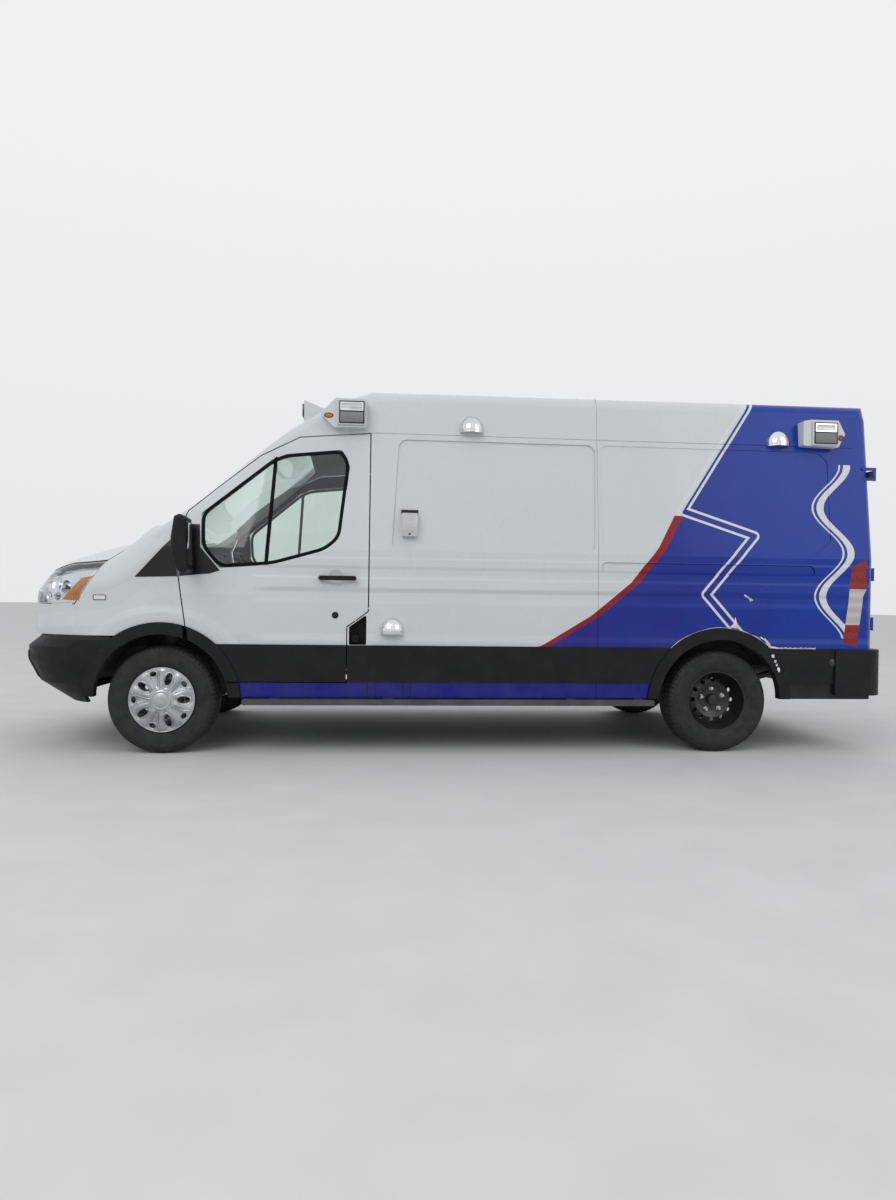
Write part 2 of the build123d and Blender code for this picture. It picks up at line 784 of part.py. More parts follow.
# Rear doors
rear_window = ((-150, 1400), (-760, 1400), (-705, 2000), (-150, 2000))
with BuildPart() as rear_door_left:
    add(load_skin.part)
    add(rear_block(rear_door_outline, tail_station - wall - 5, rear), mode=Mode.INTERSECT)
    add(rear_block(rear_window, tail_station - 2 * wall, rear, 0, 60), mode=Mode.SUBTRACT)
    for height, reach in rear_hinges:
        with BuildSketch(Plane.XY.offset(height - 25)):
            with BuildLine():
                x, y = at(rear_hinge_station), -rear_hinge_half
                Polyline((x - 20, y + 21), (x - 20, y + 125), (x - 13, y + 125), (x - 8, y),
                         (x - 14, y), close=True)
            make_face()
        extrude(amount=50)
        add(post(rear_hinge_station, -rear_hinge_half, height - 25, height + 25, 11))
        add(post(rear_hinge_station, -rear_hinge_half, height - 25, height + 25, 6.3), mode=Mode.SUBTRACT)
save(rear_door_left.part, "rear_door_left")
mirrored(rear_door_left.part, "rear_door_right")

with BuildPart() as rear_glass_left:
    add(load_glass_skin.part)
    add(rear_block(rear_window, tail_station - 2 * wall, rear, -seat_gap, 60), mode=Mode.INTERSECT)
save(rear_glass_left.part, "rear_glass_left")
mirrored(rear_glass_left.part, "rear_glass_right")

with BuildPart() as tail_lamp:
    add(load_skin.part)
    add(side_block(tail_lamp_outline, 700, beyond, -seat_gap, 12), mode=Mode.INTERSECT)
    add(rear_doors_hole.part, mode=Mode.SUBTRACT)
with BuildPart() as tail_lamps:
    add(tail_lamp.part)
    mirror(tail_lamp.part, about=Plane.XZ)
save(tail_lamps.part, "tail_lamps")

# Body cladding: the wings' flares, the strips along the sides and the rear flares
with BuildPart() as load_cladding_layer:
    add(load_form(-cladding_proud))
    add(load_form(0), mode=Mode.SUBTRACT)
with BuildPart() as load_flare_layer:
    add(load_form(-flare_proud))
    add(load_form(wall), mode=Mode.SUBTRACT)
with BuildPart() as rear_flare:
    add(load_flare_layer.part)
    add(rear_ring, mode=Mode.INTERSECT)
    add(rear_arch, mode=Mode.SUBTRACT)
    add(side_box(b_pillar, rear, 0, flare_low, inboard, beyond), mode=Mode.SUBTRACT)
bumper_front = rear_axle + 820
with BuildPart() as side_strip:
    add(load_cladding_layer.part)
    add(side_box(b_pillar + 4, bumper_front, sill_top, cladding_top, inboard, beyond), mode=Mode.INTERSECT)
    add(rear_hole, mode=Mode.SUBTRACT)
    add(tail_lamp_hole, mode=Mode.SUBTRACT)
with BuildPart() as fender_flare:
    add(front_flare.part)
    add(side_block([(0, 0), (front_axle + 120, 0), (front_axle + 154, 640), (front_axle + 138, 831),
                    (front_axle + 138, 900), (0, 900)], inboard, beyond), mode=Mode.INTERSECT)
with BuildPart() as filler_strip:
    add(cladding_layer.part)
    add(side_box(door_rear - 132, b_pillar - 4, sill_top, 716, inboard, beyond), mode=Mode.INTERSECT)
with BuildPart() as flare_foot:
    add(front_flare.part)
    add(side_box(front_axle + 300, front_axle + 600, 0, sill_top - seam, inboard, beyond),
        mode=Mode.INTERSECT)
liner_radius = arch_radius + 12
liner_half = side_levels[1][1] - wall - 7
liner_flange = 37
with BuildPart() as liner:
    add(side_disc(front_axle, hub_height, liner_radius + 6, 610, liner_half))
    add(side_disc(front_axle, hub_height, liner_radius, 600, beyond), mode=Mode.SUBTRACT)
    add(side_box(0, b_pillar, -tyre_radius, sill_top, 0, beyond), mode=Mode.SUBTRACT)
    add(post(front_axle, -690, 600, 900, 68), mode=Mode.SUBTRACT)
with BuildPart() as liner_edge:
    add(side_disc(front_axle, hub_height, liner_radius + 6, liner_half - 5, liner_half - 5 + liner_flange))
    add(side_disc(front_axle, hub_height, liner_radius, 600, beyond), mode=Mode.SUBTRACT)
    add(side_box(front_axle - 300, front_axle + 100, sill_top, 2 * hub_height + arch_radius, inboard, beyond),
        mode=Mode.INTERSECT)
with BuildPart() as cladding:
    for piece in (side_strip.part, rear_flare.part, fender_flare.part, filler_strip.part, flare_foot.part,
                  liner.part, liner_edge.part):
        add(piece)
        mirror(piece, about=Plane.XZ)
save(cladding.part, "cladding")

with BuildPart() as step_left:
    add(side_box(front_axle + 520, rear_axle - 470, sill_low - 46, sill_low - 7, 925, 1030, 10))
    for station in (front_axle + 700, b_pillar + 100, side_seam - 200, rear_axle - 600):
        add(side_box(station, station + 60, sill_low - 12, sill_low - seat_gap, 950, 985))
with BuildPart() as side_steps:
    add(step_left.part)
    mirror(step_left.part, about=Plane.XZ)
save(side_steps.part, "side_steps")

# Front bumper: height, front station, half width
bumper_levels = (
    (318, 250, 905),
    (458, 66, 975),
    (600, 0, 996),
    (690, 0, 1000),
    (740, 60, 1000),
    (nose_low - seat_gap, 90, 990),
)


def bumper_form(inset, extra):
    """The front bumper as a solid, lofted through plan outlines."""
    with BuildPart() as form:
        for index, (z, front, half) in enumerate(bumper_levels):
            z = z - extra if index == 0 else z
            z = z + extra if index == len(bumper_levels) - 1 else z
            x = at(front + inset)
            side = half - inset
            with BuildSketch(Plane.XY.offset(z)):
                with BuildLine():
                    Polyline((at(720), -side), (x + 430, -side))
                    ThreePointArc((x + 430, -side), (x + 190, -side + 115), (x + 70, -side + 340))
                    ThreePointArc((x + 70, -side + 340), (x, 0), (x + 70, side - 340))
                    ThreePointArc((x + 70, side - 340), (x + 190, side - 115), (x + 430, side))
                    Polyline((x + 430, side), (at(720), side), (at(720), -side))
                make_face()
        loft(ruled=True)
    return form.part


with BuildPart() as front_bumper:
    add(bumper_form(0, 0))
    add(bumper_form(36, 2), mode=Mode.SUBTRACT)
    add(front_hole, mode=Mode.SUBTRACT)
    add(mirror(front_hole, about=Plane.XZ, mode=Mode.PRIVATE), mode=Mode.SUBTRACT)
    add(side_box(700, 800, 0, 1000, -beyond, beyond), mode=Mode.SUBTRACT)
save(front_bumper.part, "front_bumper")

with BuildPart() as rear_bumper:
    with BuildSketch(Plane.XY.offset(402)) as plan:
        with BuildLine():
            end = at(overall_length)
            Polyline((at(bumper_front), -1030), (end - 130, -1030))
            ThreePointArc((end - 130, -1030), (end - 45, -985), (end - 8, -880))
            ThreePointArc((end - 8, -880), (end, 0), (end - 8, 880))
            ThreePointArc((end - 8, 880), (end - 45, 985), (end - 130, 1030))
            Polyline((end - 130, 1030), (at(bumper_front), 1030), (at(bumper_front), -1030))
        make_face()
    extrude(amount=318)
    add(load_form(-seat_gap), mode=Mode.SUBTRACT)
    add(side_box(4000, tail_station - wall, 0, 2000, -985, 985), mode=Mode.SUBTRACT)
    add(tail_lamp_hole, mode=Mode.SUBTRACT)
    add(mirror(tail_lamp_hole, about=Plane.XZ, mode=Mode.PRIVATE), mode=Mode.SUBTRACT)
save(rear_bumper.part, "rear_bumper")

# Floor with its rails and wheel boxes
rail_half = 430
rail_width = 70
rail_low = 560
floor_half = side_levels[2][1] - wall - seat_gap
box_half = 700
floor_front = front_axle + 470
floor_under = floor_top - floor_thickness
stretcher_plate = (side_seam - 300, tail_station - 240)
with BuildPart() as wheel_box:
    add(side_disc(rear_axle, hub_height, arch_radius + 40, box_half - 12, floor_half - 8))
    add(side_disc(rear_axle, hub_height, arch_radius + 28, box_half, floor_half), mode=Mode.SUBTRACT)
    add(side_box(b_pillar, overall_length, -tyre_radius, floor_under, 0, beyond), mode=Mode.SUBTRACT)
wheel_box_hole = side_disc(rear_axle, hub_height, arch_radius + 38, box_half - 10, beyond)
with BuildPart() as floor:
    add(side_box(floor_front, tail_station - wall - seat_gap, floor_under, floor_top,
                 -floor_half + 8, floor_half - 8))
    fillet(floor.edges().filter_by(Axis.Z).sort_by(Axis.X)[-2:], tail_corner - wall + 6)
    add(wheel_box_hole, mode=Mode.SUBTRACT)
    add(mirror(wheel_box_hole, about=Plane.XZ, mode=Mode.PRIVATE), mode=Mode.SUBTRACT)
    add(wheel_box.part)
    add(mirror(wheel_box.part, about=Plane.XZ, mode=Mode.PRIVATE))
    add(side_box(*stretcher_plate, floor_top - 1, floor_top + 6, -280, 280))
    for y in (rail_half, -rail_half):
        add(side_box(150, tail_station - wall - 10, rail_low, floor_under, y - rail_width / 2,
                     y + rail_width / 2))
    for station in (front_axle + 480, b_pillar + 100, side_seam - 300, rear_axle + 700):
        add(side_box(station, station + 80, rail_low, floor_under, -rail_half, rail_half))
save(floor.part, "floor")

# Firewall: dash panel, wheelhouse shelf, strut towers and hinge pillars
firewall_half = 955
shelf_low = 860


def hinge_ears(height):
    """Two ears and the pin of a front door hinge, on the pillar behind the wing."""
    with BuildPart() as ears:
        for low in (height - hinge_half_height - 22, height + hinge_half_height + 1):
            add(side_box(door_hinge_station - 35, door_hinge_station, low, low + 21, door_hinge_half - 25,
                         door_hinge_half))
            add(post(door_hinge_station, -door_hinge_half, low, low + 21, barrel_radius - 2))
        add(post(door_hinge_station, -door_hinge_half, height - hinge_half_height - 22,
                 height + hinge_half_height + 22, pin_radius))
    return ears.part


with BuildPart() as hinge_pillar:
    add(side_box(door_hinge_station - 60, door_hinge_station - 20, shelf_low + 10, 1380, 885, 972))
    for height in hinge_heights:
        add(hinge_ears(height))
with BuildPart() as firewall:
    add(side_block([(1040, 1380), (1040, shelf_low), (floor_front - 12, shelf_low),
                    (floor_front - 12, floor_under), (floor_front - seat_gap, floor_under),
                    (floor_front - seat_gap, shelf_low + 16), (1056, shelf_low + 16), (1056, 1380)],
                   -firewall_half, firewall_half))
    for y in (-690, 690):
        add(side_box(950, 1041, shelf_low, shelf_low + 30, y - 75, y + 75))
    add(hinge_pillar.part)
    add(mirror(hinge_pillar.part, about=Plane.XZ, mode=Mode.PRIVATE))
save(firewall.part, "firewall")

# Engine with its gearbox, one plain block
engine_half = 300
gearbox_low = 300
with BuildPart() as engine:
    add(side_box(430, 960, 430, 1150, -engine_half, engine_half, 40))
    add(side_box(960, 1480, gearbox_low, floor_under - 20, -150, 150, 30))
    for y in (-1, 1):
        add(side_box(700, 780, 600, 650, min(y * 280, y * (rail_half - 35 - seat_gap)),
                     max(y * 280, y * (rail_half - 35 - seat_gap))))
save(engine.part, "engine")

with BuildPart() as radiator:
    add(side_box(240, 290, 500, 1020, -rail_half + 35 + seat_gap, rail_half - 35 - seat_gap, 12))
save(radiator.part, "radiator")

with BuildPart() as fuel_tank:
    add(side_box(b_pillar + 250, b_pillar + 1150, 340, rail_low - seat_gap, 120, 460, 40))
save(fuel_tank.part, "fuel_tank")

with BuildPart() as exhaust:
    with BuildLine() as pipe:
        FilletPolyline((at(960), 240, 470), (at(1500), 240, 470), (at(2500), 300, 470),
                       (at(3800), 300, 470), (at(4150), 620, 440), (at(4180), 880, 420), radius=60)
    with BuildSketch(Plane(origin=pipe.line @ 0, z_dir=pipe.line % 0)):
        Circle(30)
    sweep()
    with BuildSketch(Plane.YZ.offset(at(2700))):
        with Locations((300, 455)):
            Ellipse(130, 85)
    extrude(amount=650)
    for station in (2650, 3500):
        add(side_box(station, station + 24, 498, rail_low - seat_gap, -312, -288))
        add(side_box(station, station + 24, rail_low - 18, rail_low - seat_gap, -rail_half, -288))
save(exhaust.part, "exhaust")

# Rear axle on leaf springs, and the drive shaft
axle_profile = ((0, 0), (0, 140), (60, 135), (120, 95), (160, 52), (640, 45), (690, 45), (690, 150), (745, 150),
                (745, hub_radius), (track_half + 12, hub_radius), (track_half + 12, 0))
with BuildPart() as rear_axle_beam:
    for side in (-1, 1):
        with BuildSketch(Plane.XY.offset(hub_height)):
            with BuildLine():
                Polyline(*[(at(rear_axle) + r, side * y) for y, r in axle_profile], close=True)
            make_face()
        revolve(axis=Axis((at(rear_axle), 0, hub_height), (0, 1, 0)))
    spring_half = 560
    for side in (-1, 1):
        with BuildSketch(Plane.XZ.offset(side * spring_half - 35)):
            with BuildLine():
                ThreePointArc((at(rear_axle - 650), 520), (at(rear_axle), hub_height + 46),
                              (at(rear_axle + 650), 520))
                Line((at(rear_axle + 650), 520), (at(rear_axle + 650), 548))
                ThreePointArc((at(rear_axle + 650), 548), (at(rear_axle), hub_height + 86),
                              (at(rear_axle - 650), 548))
                Line((at(rear_axle - 650), 548), (at(rear_axle - 650), 520))
            make_face()
        extrude(amount=70)
        add(side_box(rear_axle - 50, rear_axle + 50, hub_height + 20, hub_height + 60,
                     side * spring_half - 40, side * spring_half + 40))
        for station in (rear_axle - 650, rear_axle + 640):
            add(side_box(station - 30, station + 40, 520, floor_under - seat_gap,
                         side * spring_half - 30, side * spring_half + 30))
    with BuildSketch(Plane.YZ.offset(at(rear_axle) - 150)):
        with Locations((0, hub_height)):
            Circle(44)
    extrude(amount=40)

with BuildPart() as drive_shaft:
    with BuildSketch(Plane.YZ.offset(at(1480) + seat_gap)):
        with Locations((0, hub_height)):
            Circle(34)
    extrude(amount=rear_axle - 145 - 1480)
with BuildPart() as rear_drive:
    add(rear_axle_beam.part)
    add(drive_shaft.part)
save(rear_drive.part, "rear_axle")

# Front suspension: crossmember, lower arms, and struts whose brackets hold the upper kingpins
knuckle_low = 236
knuckle_high = 466
with BuildPart() as arm_left:
    add(side_box(front_axle - 60, front_axle + 60, 200, knuckle_low - seat_gap, rail_half - 40, 700))
    add(side_box(front_axle - 28, front_axle + 28, 200, knuckle_low - seat_gap, 699, kingpin_half + 24, 12))
    add(post(front_axle, -kingpin_half, 210, knuckle_low + 30, 10))
    add(side_box(front_axle - 28, front_axle + 28, knuckle_high + seat_gap, knuckle_high + 28, 660,
                 kingpin_half + 24, 12))
    add(post(front_axle, -kingpin_half, knuckle_high - 30, knuckle_high + 20, 10))
    add(post(front_axle, -690, knuckle_high + 10, 720, 27))
    add(post(front_axle, -690, 715, shelf_low - seat_gap, 60))
    add(side_box(front_axle - 60, front_axle + 60, 200, rail_low - seat_gap, rail_half - 34, rail_half + 34))
with BuildPart() as front_suspension:
    add(arm_left.part)
    mirror(arm_left.part, about=Plane.XZ)
    add(side_box(front_axle - 60, front_axle + 60, 200, 290, -rail_half, rail_half))
save(front_suspension.part, "front_suspension")

with BuildPart() as knuckle_left:
    add(side_box(front_axle - 30, front_axle + 30, knuckle_low, knuckle_high, kingpin_half - 22,
                 kingpin_half + 22, 14))
    add(side_disc(front_axle, hub_height, 55, kingpin_half, kingpin_half + 40))
    add(side_disc(front_axle, hub_height, hub_radius, kingpin_half, track_half + 12))
    add(post(front_axle, -kingpin_half, knuckle_low - 5, knuckle_low + 32, 10 + seat_gap), mode=Mode.SUBTRACT)
    add(post(front_axle, -kingpin_half, knuckle_high - 32, knuckle_high + 5, 10 + seat_gap),
        mode=Mode.SUBTRACT)
save(knuckle_left.part, "knuckle_left")
mirrored(knuckle_left.part, "knuckle_right")

# Wheels: tyre, steel wheel, and a cover on the front ones
tyre_profile = (
    (track_half - 89, rim_radius + seat_gap),
    (track_half - 104, 232),
    (track_half - tyre_width / 2, 282),
    (track_half - 108, 328),
    (track_half - 88, 346),
    (track_half, tyre_radius),
    (track_half + 88, 346),
    (track_half + 108, 328),
    (track_half + tyre_width / 2, 282),
    (track_half + 104, 232),
    (track_half + 89, rim_radius + seat_gap),
)
rim_profile = (
    (track_half - 89, rim_radius),
    (track_half - 89, rim_radius - 10),
    (track_half - 40, rim_radius - 22),
    (track_half - 20, rim_radius - 26),
    (track_half - 14, rim_radius - 40),
    (track_half + 10, 120),
    (track_half - 6, 86),
    (track_half - 6, hub_radius + seat_gap),
    (track_half + 6, hub_radius + seat_gap),
    (track_half + 6, 80),
    (track_half + 22, 124),
    (track_half - 4, rim_radius - 26),
    (track_half + 40, rim_radius - 20),
    (track_half + 89, rim_radius - 8),
    (track_half + 89, rim_radius),
)

cover_profile = (
    (track_half + 70, 186),
    (track_half + 70, 198),
    (track_half + 88, 203),
    (track_half + 96, 212),
    (track_half + 106, 212),
    (track_half + 114, 120),
    (track_half + 122, 60),
    (track_half + 122, 0),
    (track_half + 112, 0),
    (track_half + 104, 120),
    (track_half + 97, 190),
)


def turned(profile, axle):
    """A left-hand ring turned about an axle from its (distance from the centre line, radius) outline."""
    with BuildPart() as ring:
        with BuildSketch(Plane.XY.offset(hub_height)):
            with BuildLine():
                Polyline(*[(at(axle) + r, -y) for y, r in profile], close=True)
            make_face()
        revolve(axis=Axis((at(axle), 0, hub_height), (0, 1, 0)))
    return ring.part


cover_spokes = 5
with BuildPart() as wheel_cover:
    add(turned(cover_profile, front_axle))
    with BuildSketch(Plane.XZ.offset(track_half + 60)):
        with Locations((at(front_axle), hub_height)):
            with PolarLocations(142, cover_spokes):
                Ellipse(42, 21)
            with PolarLocations(176, cover_spokes, start_angle=180 / cover_spokes):
                Ellipse(15, 21)
    extrude(amount=80, mode=Mode.SUBTRACT)

for axle, place in ((front_axle, "front"), (rear_axle, "rear")):
    tyre = turned(tyre_profile, axle)
    save(tyre, f"tyre_{place}_left")
    mirrored(tyre, f"tyre_{place}_right")
    with BuildPart() as rim:
        add(turned(rim_profile, axle))
        with BuildSketch(Plane.XZ.offset(track_half - 60)):
            with Locations((at(axle), hub_height)):
                with PolarLocations(140, 12):
                    Circle(15)
        extrude(amount=120, mode=Mode.SUBTRACT)
        if place == "front":
            add(wheel_cover.part)
    save(rim.part, f"wheel_{place}_left")
    mirrored(rim.part, f"wheel_{place}_right")

# Inside: dashboard, steering wheel, seats, bulkhead, cabinet and bench
dash_outline = ((1056.3, 1376), (1056.3, 900), (1250, 900), (1380, 1010), (1400, 1120), (1350, 1190),
                (1200, 1230))
wheel_centre = (at(1500), -420, 1185)
wheel_plane = Plane(origin=wheel_centre, x_dir=(0, 1, 0), z_dir=(0.83, 0, 0.56))
with BuildPart() as dashboard:
    add(side_block(dash_outline, -880, 880))
    fillet(dashboard.edges().filter_by(Axis.Y).sort_by(Axis.X)[-3:], 20)
    with BuildSketch(wheel_plane.offset(-400)):
        Circle(36 + seat_gap)
    extrude(amount=400, mode=Mode.SUBTRACT)
save(dashboard.part, "dashboard")

with BuildPart() as steering_wheel:
    with BuildSketch(Plane(origin=wheel_plane.from_local_coords((185, 0, 0)), x_dir=wheel_plane.x_dir,
                           z_dir=wheel_plane.y_dir)):
        Circle(15)
    revolve(axis=Axis(wheel_centre, wheel_plane.z_dir))
    with BuildSketch(wheel_plane.offset(-14)):
        Circle(62)
        Rectangle(350, 44)
    extrude(amount=22)
    with BuildSketch(wheel_plane.offset(-150)):
        Circle(36)
    extrude(amount=140)
save(steering_wheel.part, "steering_wheel")

with BuildPart() as seat_one:
    add(side_block([(1640, 900), (2160, 880), (2160, 1020), (1640, 1040)], 160, 660, 0, 30))
    add(side_block([(2080, 1010), (2200, 1000), (2330, 1600), (2240, 1620)], 170, 650, 0, 30))
    add(side_block([(2240, 1630), (2340, 1630), (2350, 1790), (2270, 1790)], 290, 530, 0, 25))
    add(side_box(2270, 2300, 1590, 1650, 380, 440))
    add(side_box(1700, 2120, floor_top + seat_gap, 960, 230, 590))
with BuildPart() as seats:
    add(seat_one.part)
    mirror(seat_one.part, about=Plane.XZ)
save(seats.part, "seats")

with BuildPart() as load_room:
    add(load_form(wall + seat_gap))

with BuildPart() as bulkhead:
    add(load_room.part)
    add(side_box(b_pillar + 70, b_pillar + 100, floor_top + seat_gap, 2600, -beyond, beyond),
        mode=Mode.INTERSECT)
    add(side_box(b_pillar, b_pillar + 200, floor_top - 10, 2150, -300, 300, 40), mode=Mode.SUBTRACT)
save(bulkhead.part, "bulkhead")

with BuildPart() as cabinet:
    add(load_room.part)
    add(side_box(b_pillar + 120, rear_axle - 490, floor_top + seat_gap, 2250, 560, beyond),
        mode=Mode.INTERSECT)
    for front, back in ((b_pillar + 150, b_pillar + 900), (b_pillar + 940, rear_axle - 520)):
        for low, high in ((780, 1180), (1220, 1620), (1660, 2180)):
            add(side_box(front, back, low, high, 500, 840, 20), mode=Mode.SUBTRACT)
save(cabinet.part, "cabinet")

with BuildPart() as bench:
    add(load_room.part)
    add(side_box(side_seam - 700, rear_axle - 490, floor_top + seat_gap, 1150, -beyond, -480),
        mode=Mode.INTERSECT)
    fillet(bench.edges().filter_by(Axis.X).group_by(Axis.Z)[-1], 30)
save(bench.part, "bench")

# Roof and side lamps
with BuildPart() as body_outside:
    add(load_form(-seat_gap))
    add(cab_form(-seat_gap))
with BuildPart() as pod_front:
    add(side_block([(2024, 2250), (2120, 2353), (2328, 2353), (2328, 2165), (2110, 2162)], 700, 985, 0, 12))
    add(side_box(2134, 2318, 2178, 2340, 980, 1000))
    add(body_outside.part, mode=Mode.SUBTRACT)
with BuildPart() as pod_rear:
    add(side_block([(5355, 2311), (5410, 2321), (5610, 2321), (5660, 2225), (5610, 2132), (5355, 2140)], 700,
                   985, 0, 12))
    add(side_box(5416, 5600, 2144, 2309, 980, 1000))
    add(body_outside.part, mode=Mode.SUBTRACT)
with BuildPart() as corner_pods:
    for piece in (pod_front.part, pod_rear.part):
        add(piece)
        mirror(piece, about=Plane.XZ)
save(corner_pods.part, "corner_pods")

# Dome lamps with flat undersides: station, foot height, how far from the centre line they reach
dome_places = ((2513, 797, 1075), (3035, 2162, 985), (5203, 2138, 985))
dome_radius = 84
dome_height = 120
with BuildPart() as domes_left:
    for station, foot, reach in dome_places:
        x, y = at(station), dome_radius - reach
        with BuildSketch(Plane.XZ.offset(-y)):
            with BuildLine():
                Polyline((x, foot + dome_height), (x, foot), (x + dome_radius, foot),
                         (x + dome_radius, foot + 10))
                ThreePointArc((x + dome_radius, foot + 10), (x + 0.8 * dome_radius, foot + 0.66 * dome_height),
                              (x, foot + dome_height))
            make_face()
        revolve(axis=Axis((x, y, 0), (0, 0, 1)))
    add(load_form(-seat_gap), mode=Mode.SUBTRACT)
with BuildPart() as dome_lamps:
    add(domes_left.part)
    mirror(domes_left.part, about=Plane.XZ)
save(dome_lamps.part, "dome_lamps")

with BuildPart() as roof_fairing:
    add(side_block([(1884, 2200), (1884, 2415), (2098, 2330), (2300, 2330)], -640, 640))
    add(cab_form(-seat_gap), mode=Mode.SUBTRACT)
save(roof_fairing.part, "roof_fairing")

with BuildPart() as warning_bar:
    add(side_box(1866, 1884 - seat_gap, 2310, 2399, -600, 600, 5))
save(warning_bar.part, "warning_bar")

with BuildPart() as inlet_cover:
    add(side_box(b_pillar + 206, b_pillar + 306, 1447, 1601, 900, 1030))
    add(load_form(press_depth - seat_gap), mode=Mode.SUBTRACT)
save(inlet_cover.part, "inlet_cover")

with BuildPart() as wipers:
    for y in (-1, 1):
        pivot = y * 420 - 200
        with BuildSketch(Plane.XY.offset(1380)):
            with BuildLine() as arm:
                Line((at(875), pivot), (at(925), pivot + 520))
            trace(arm.line, line_width=18)
        extrude(amount=300)
    add(nose_form(-seat_gap), mode=Mode.SUBTRACT)
    add(cab_form(-seat_gap), mode=Mode.SUBTRACT)
    add(cab_form(-26), mode=Mode.INTERSECT)
save(wipers.part, "wipers")
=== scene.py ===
import json
import math

import bmesh
import bpy
from mathutils import Matrix, Vector
from mathutils.bvhtree import BVHTree

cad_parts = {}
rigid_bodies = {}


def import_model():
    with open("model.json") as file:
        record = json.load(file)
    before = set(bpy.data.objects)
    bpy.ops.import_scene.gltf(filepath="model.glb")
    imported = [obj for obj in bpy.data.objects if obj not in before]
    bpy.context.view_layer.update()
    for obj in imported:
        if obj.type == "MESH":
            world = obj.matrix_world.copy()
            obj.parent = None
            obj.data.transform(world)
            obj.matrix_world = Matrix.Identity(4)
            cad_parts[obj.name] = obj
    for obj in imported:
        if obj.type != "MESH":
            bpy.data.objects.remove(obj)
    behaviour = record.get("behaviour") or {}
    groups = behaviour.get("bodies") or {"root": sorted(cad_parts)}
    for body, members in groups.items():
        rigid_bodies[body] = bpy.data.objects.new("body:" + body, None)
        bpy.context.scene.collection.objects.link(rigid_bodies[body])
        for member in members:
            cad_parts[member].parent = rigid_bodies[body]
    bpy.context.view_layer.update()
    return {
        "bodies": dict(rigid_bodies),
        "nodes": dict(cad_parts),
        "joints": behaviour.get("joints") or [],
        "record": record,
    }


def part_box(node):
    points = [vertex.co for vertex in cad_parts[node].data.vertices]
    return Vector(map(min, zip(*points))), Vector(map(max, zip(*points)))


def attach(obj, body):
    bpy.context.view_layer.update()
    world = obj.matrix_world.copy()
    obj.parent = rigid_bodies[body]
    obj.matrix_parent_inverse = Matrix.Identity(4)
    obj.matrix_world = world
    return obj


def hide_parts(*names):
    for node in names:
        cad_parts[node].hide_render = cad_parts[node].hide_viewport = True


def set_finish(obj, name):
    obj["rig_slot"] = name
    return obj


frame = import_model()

nodes = frame["nodes"]
print("frame loaded with", len(nodes), "pieces")

# X runs to the tail and the driver's side is -Y. Lengths are metres, stations are millimetres behind the bumper
van = {
    "length": 5.981,
    "frontAxle": 1023,
    "rearAxle": 4773,
    "hubHeight": 0.352,
    "trackHalf": 0.866,
    "sillTop": 0.478,
    "claddingTop": 0.722,
}


def along(station):
    return station / 1000 - van["length"] / 2


# Small helpers for editing


def deselectAll():
    if bpy.context.object and bpy.context.object.mode != "OBJECT":
        bpy.ops.object.mode_set(mode="OBJECT")
    bpy.ops.object.select_all(action="DESELECT")
    bpy.context.tool_settings.mesh_select_mode = (True, False, False)


def onlyThis(piece):
    deselectAll()
    piece.select_set(True)
    bpy.context.view_layer.objects.active = piece


def applyModifiers(piece):
    onlyThis(piece)
    for modifier in list(piece.modifiers):
        bpy.ops.object.modifier_apply(modifier=modifier.name)


def pickFaces(piece, test):
    # selects the faces whose middle and normal pass the test, in edit mode
    mesh = bmesh.from_edit_mesh(piece.data)
    bpy.ops.mesh.select_mode(type="FACE")
    for face in mesh.faces:
        face.select = False
    for face in mesh.faces:
        if test(face.calc_center_median(), face.normal):
            face.select = True
    bmesh.update_edit_mesh(piece.data)


def dress(piece, name, finish, body, slotName, angle=35):
    # freezes the place into the mesh, names the piece and lets it ride on its body
    onlyThis(piece)
    bpy.ops.object.transform_apply(location=True, rotation=True, scale=True)
    bpy.ops.object.shade_smooth_by_angle(angle=math.radians(angle))
    piece.name = name
    piece.data.name = name
    piece.data.materials.clear()
    piece.data.materials.append(look[finish])
    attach(piece, body)
    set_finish(piece, slotName)
    return piece


def copied(piece, name):
    # another object with its own mesh, taken off its body
    copy = piece.copy()
    copy.data = piece.data.copy()
    bpy.context.scene.collection.objects.link(copy)
    copy.parent = None
    copy.matrix_world = Matrix.Identity(4)
    copy.name = name
    copy.data.name = name
    return copy


def mirrorPiece(piece, name, body):
    # the passenger side's copy
    copy = copied(piece, name)
    for vertex in copy.data.vertices:
        vertex.co.y = -vertex.co.y
    copy.data.flip_normals()
    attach(copy, body)
    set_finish(copy, piece["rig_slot"])
    return copy


def moved(piece, name, shift, body):
    # another copy of a finished piece, further along
    copy = copied(piece, name)
    copy.data.transform(Matrix.Translation(shift))
    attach(copy, body)
    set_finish(copy, piece["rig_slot"])
    return copy


def pair(piece, name, finish, body, slotName, angle=35):
    # the driver's side's piece and its mirror image; a body's name ends in its side
    piece = dress(piece, name + "Left", finish, body, slotName, angle)
    mirrorPiece(piece, name + "Right", body.replace("left", "right"))


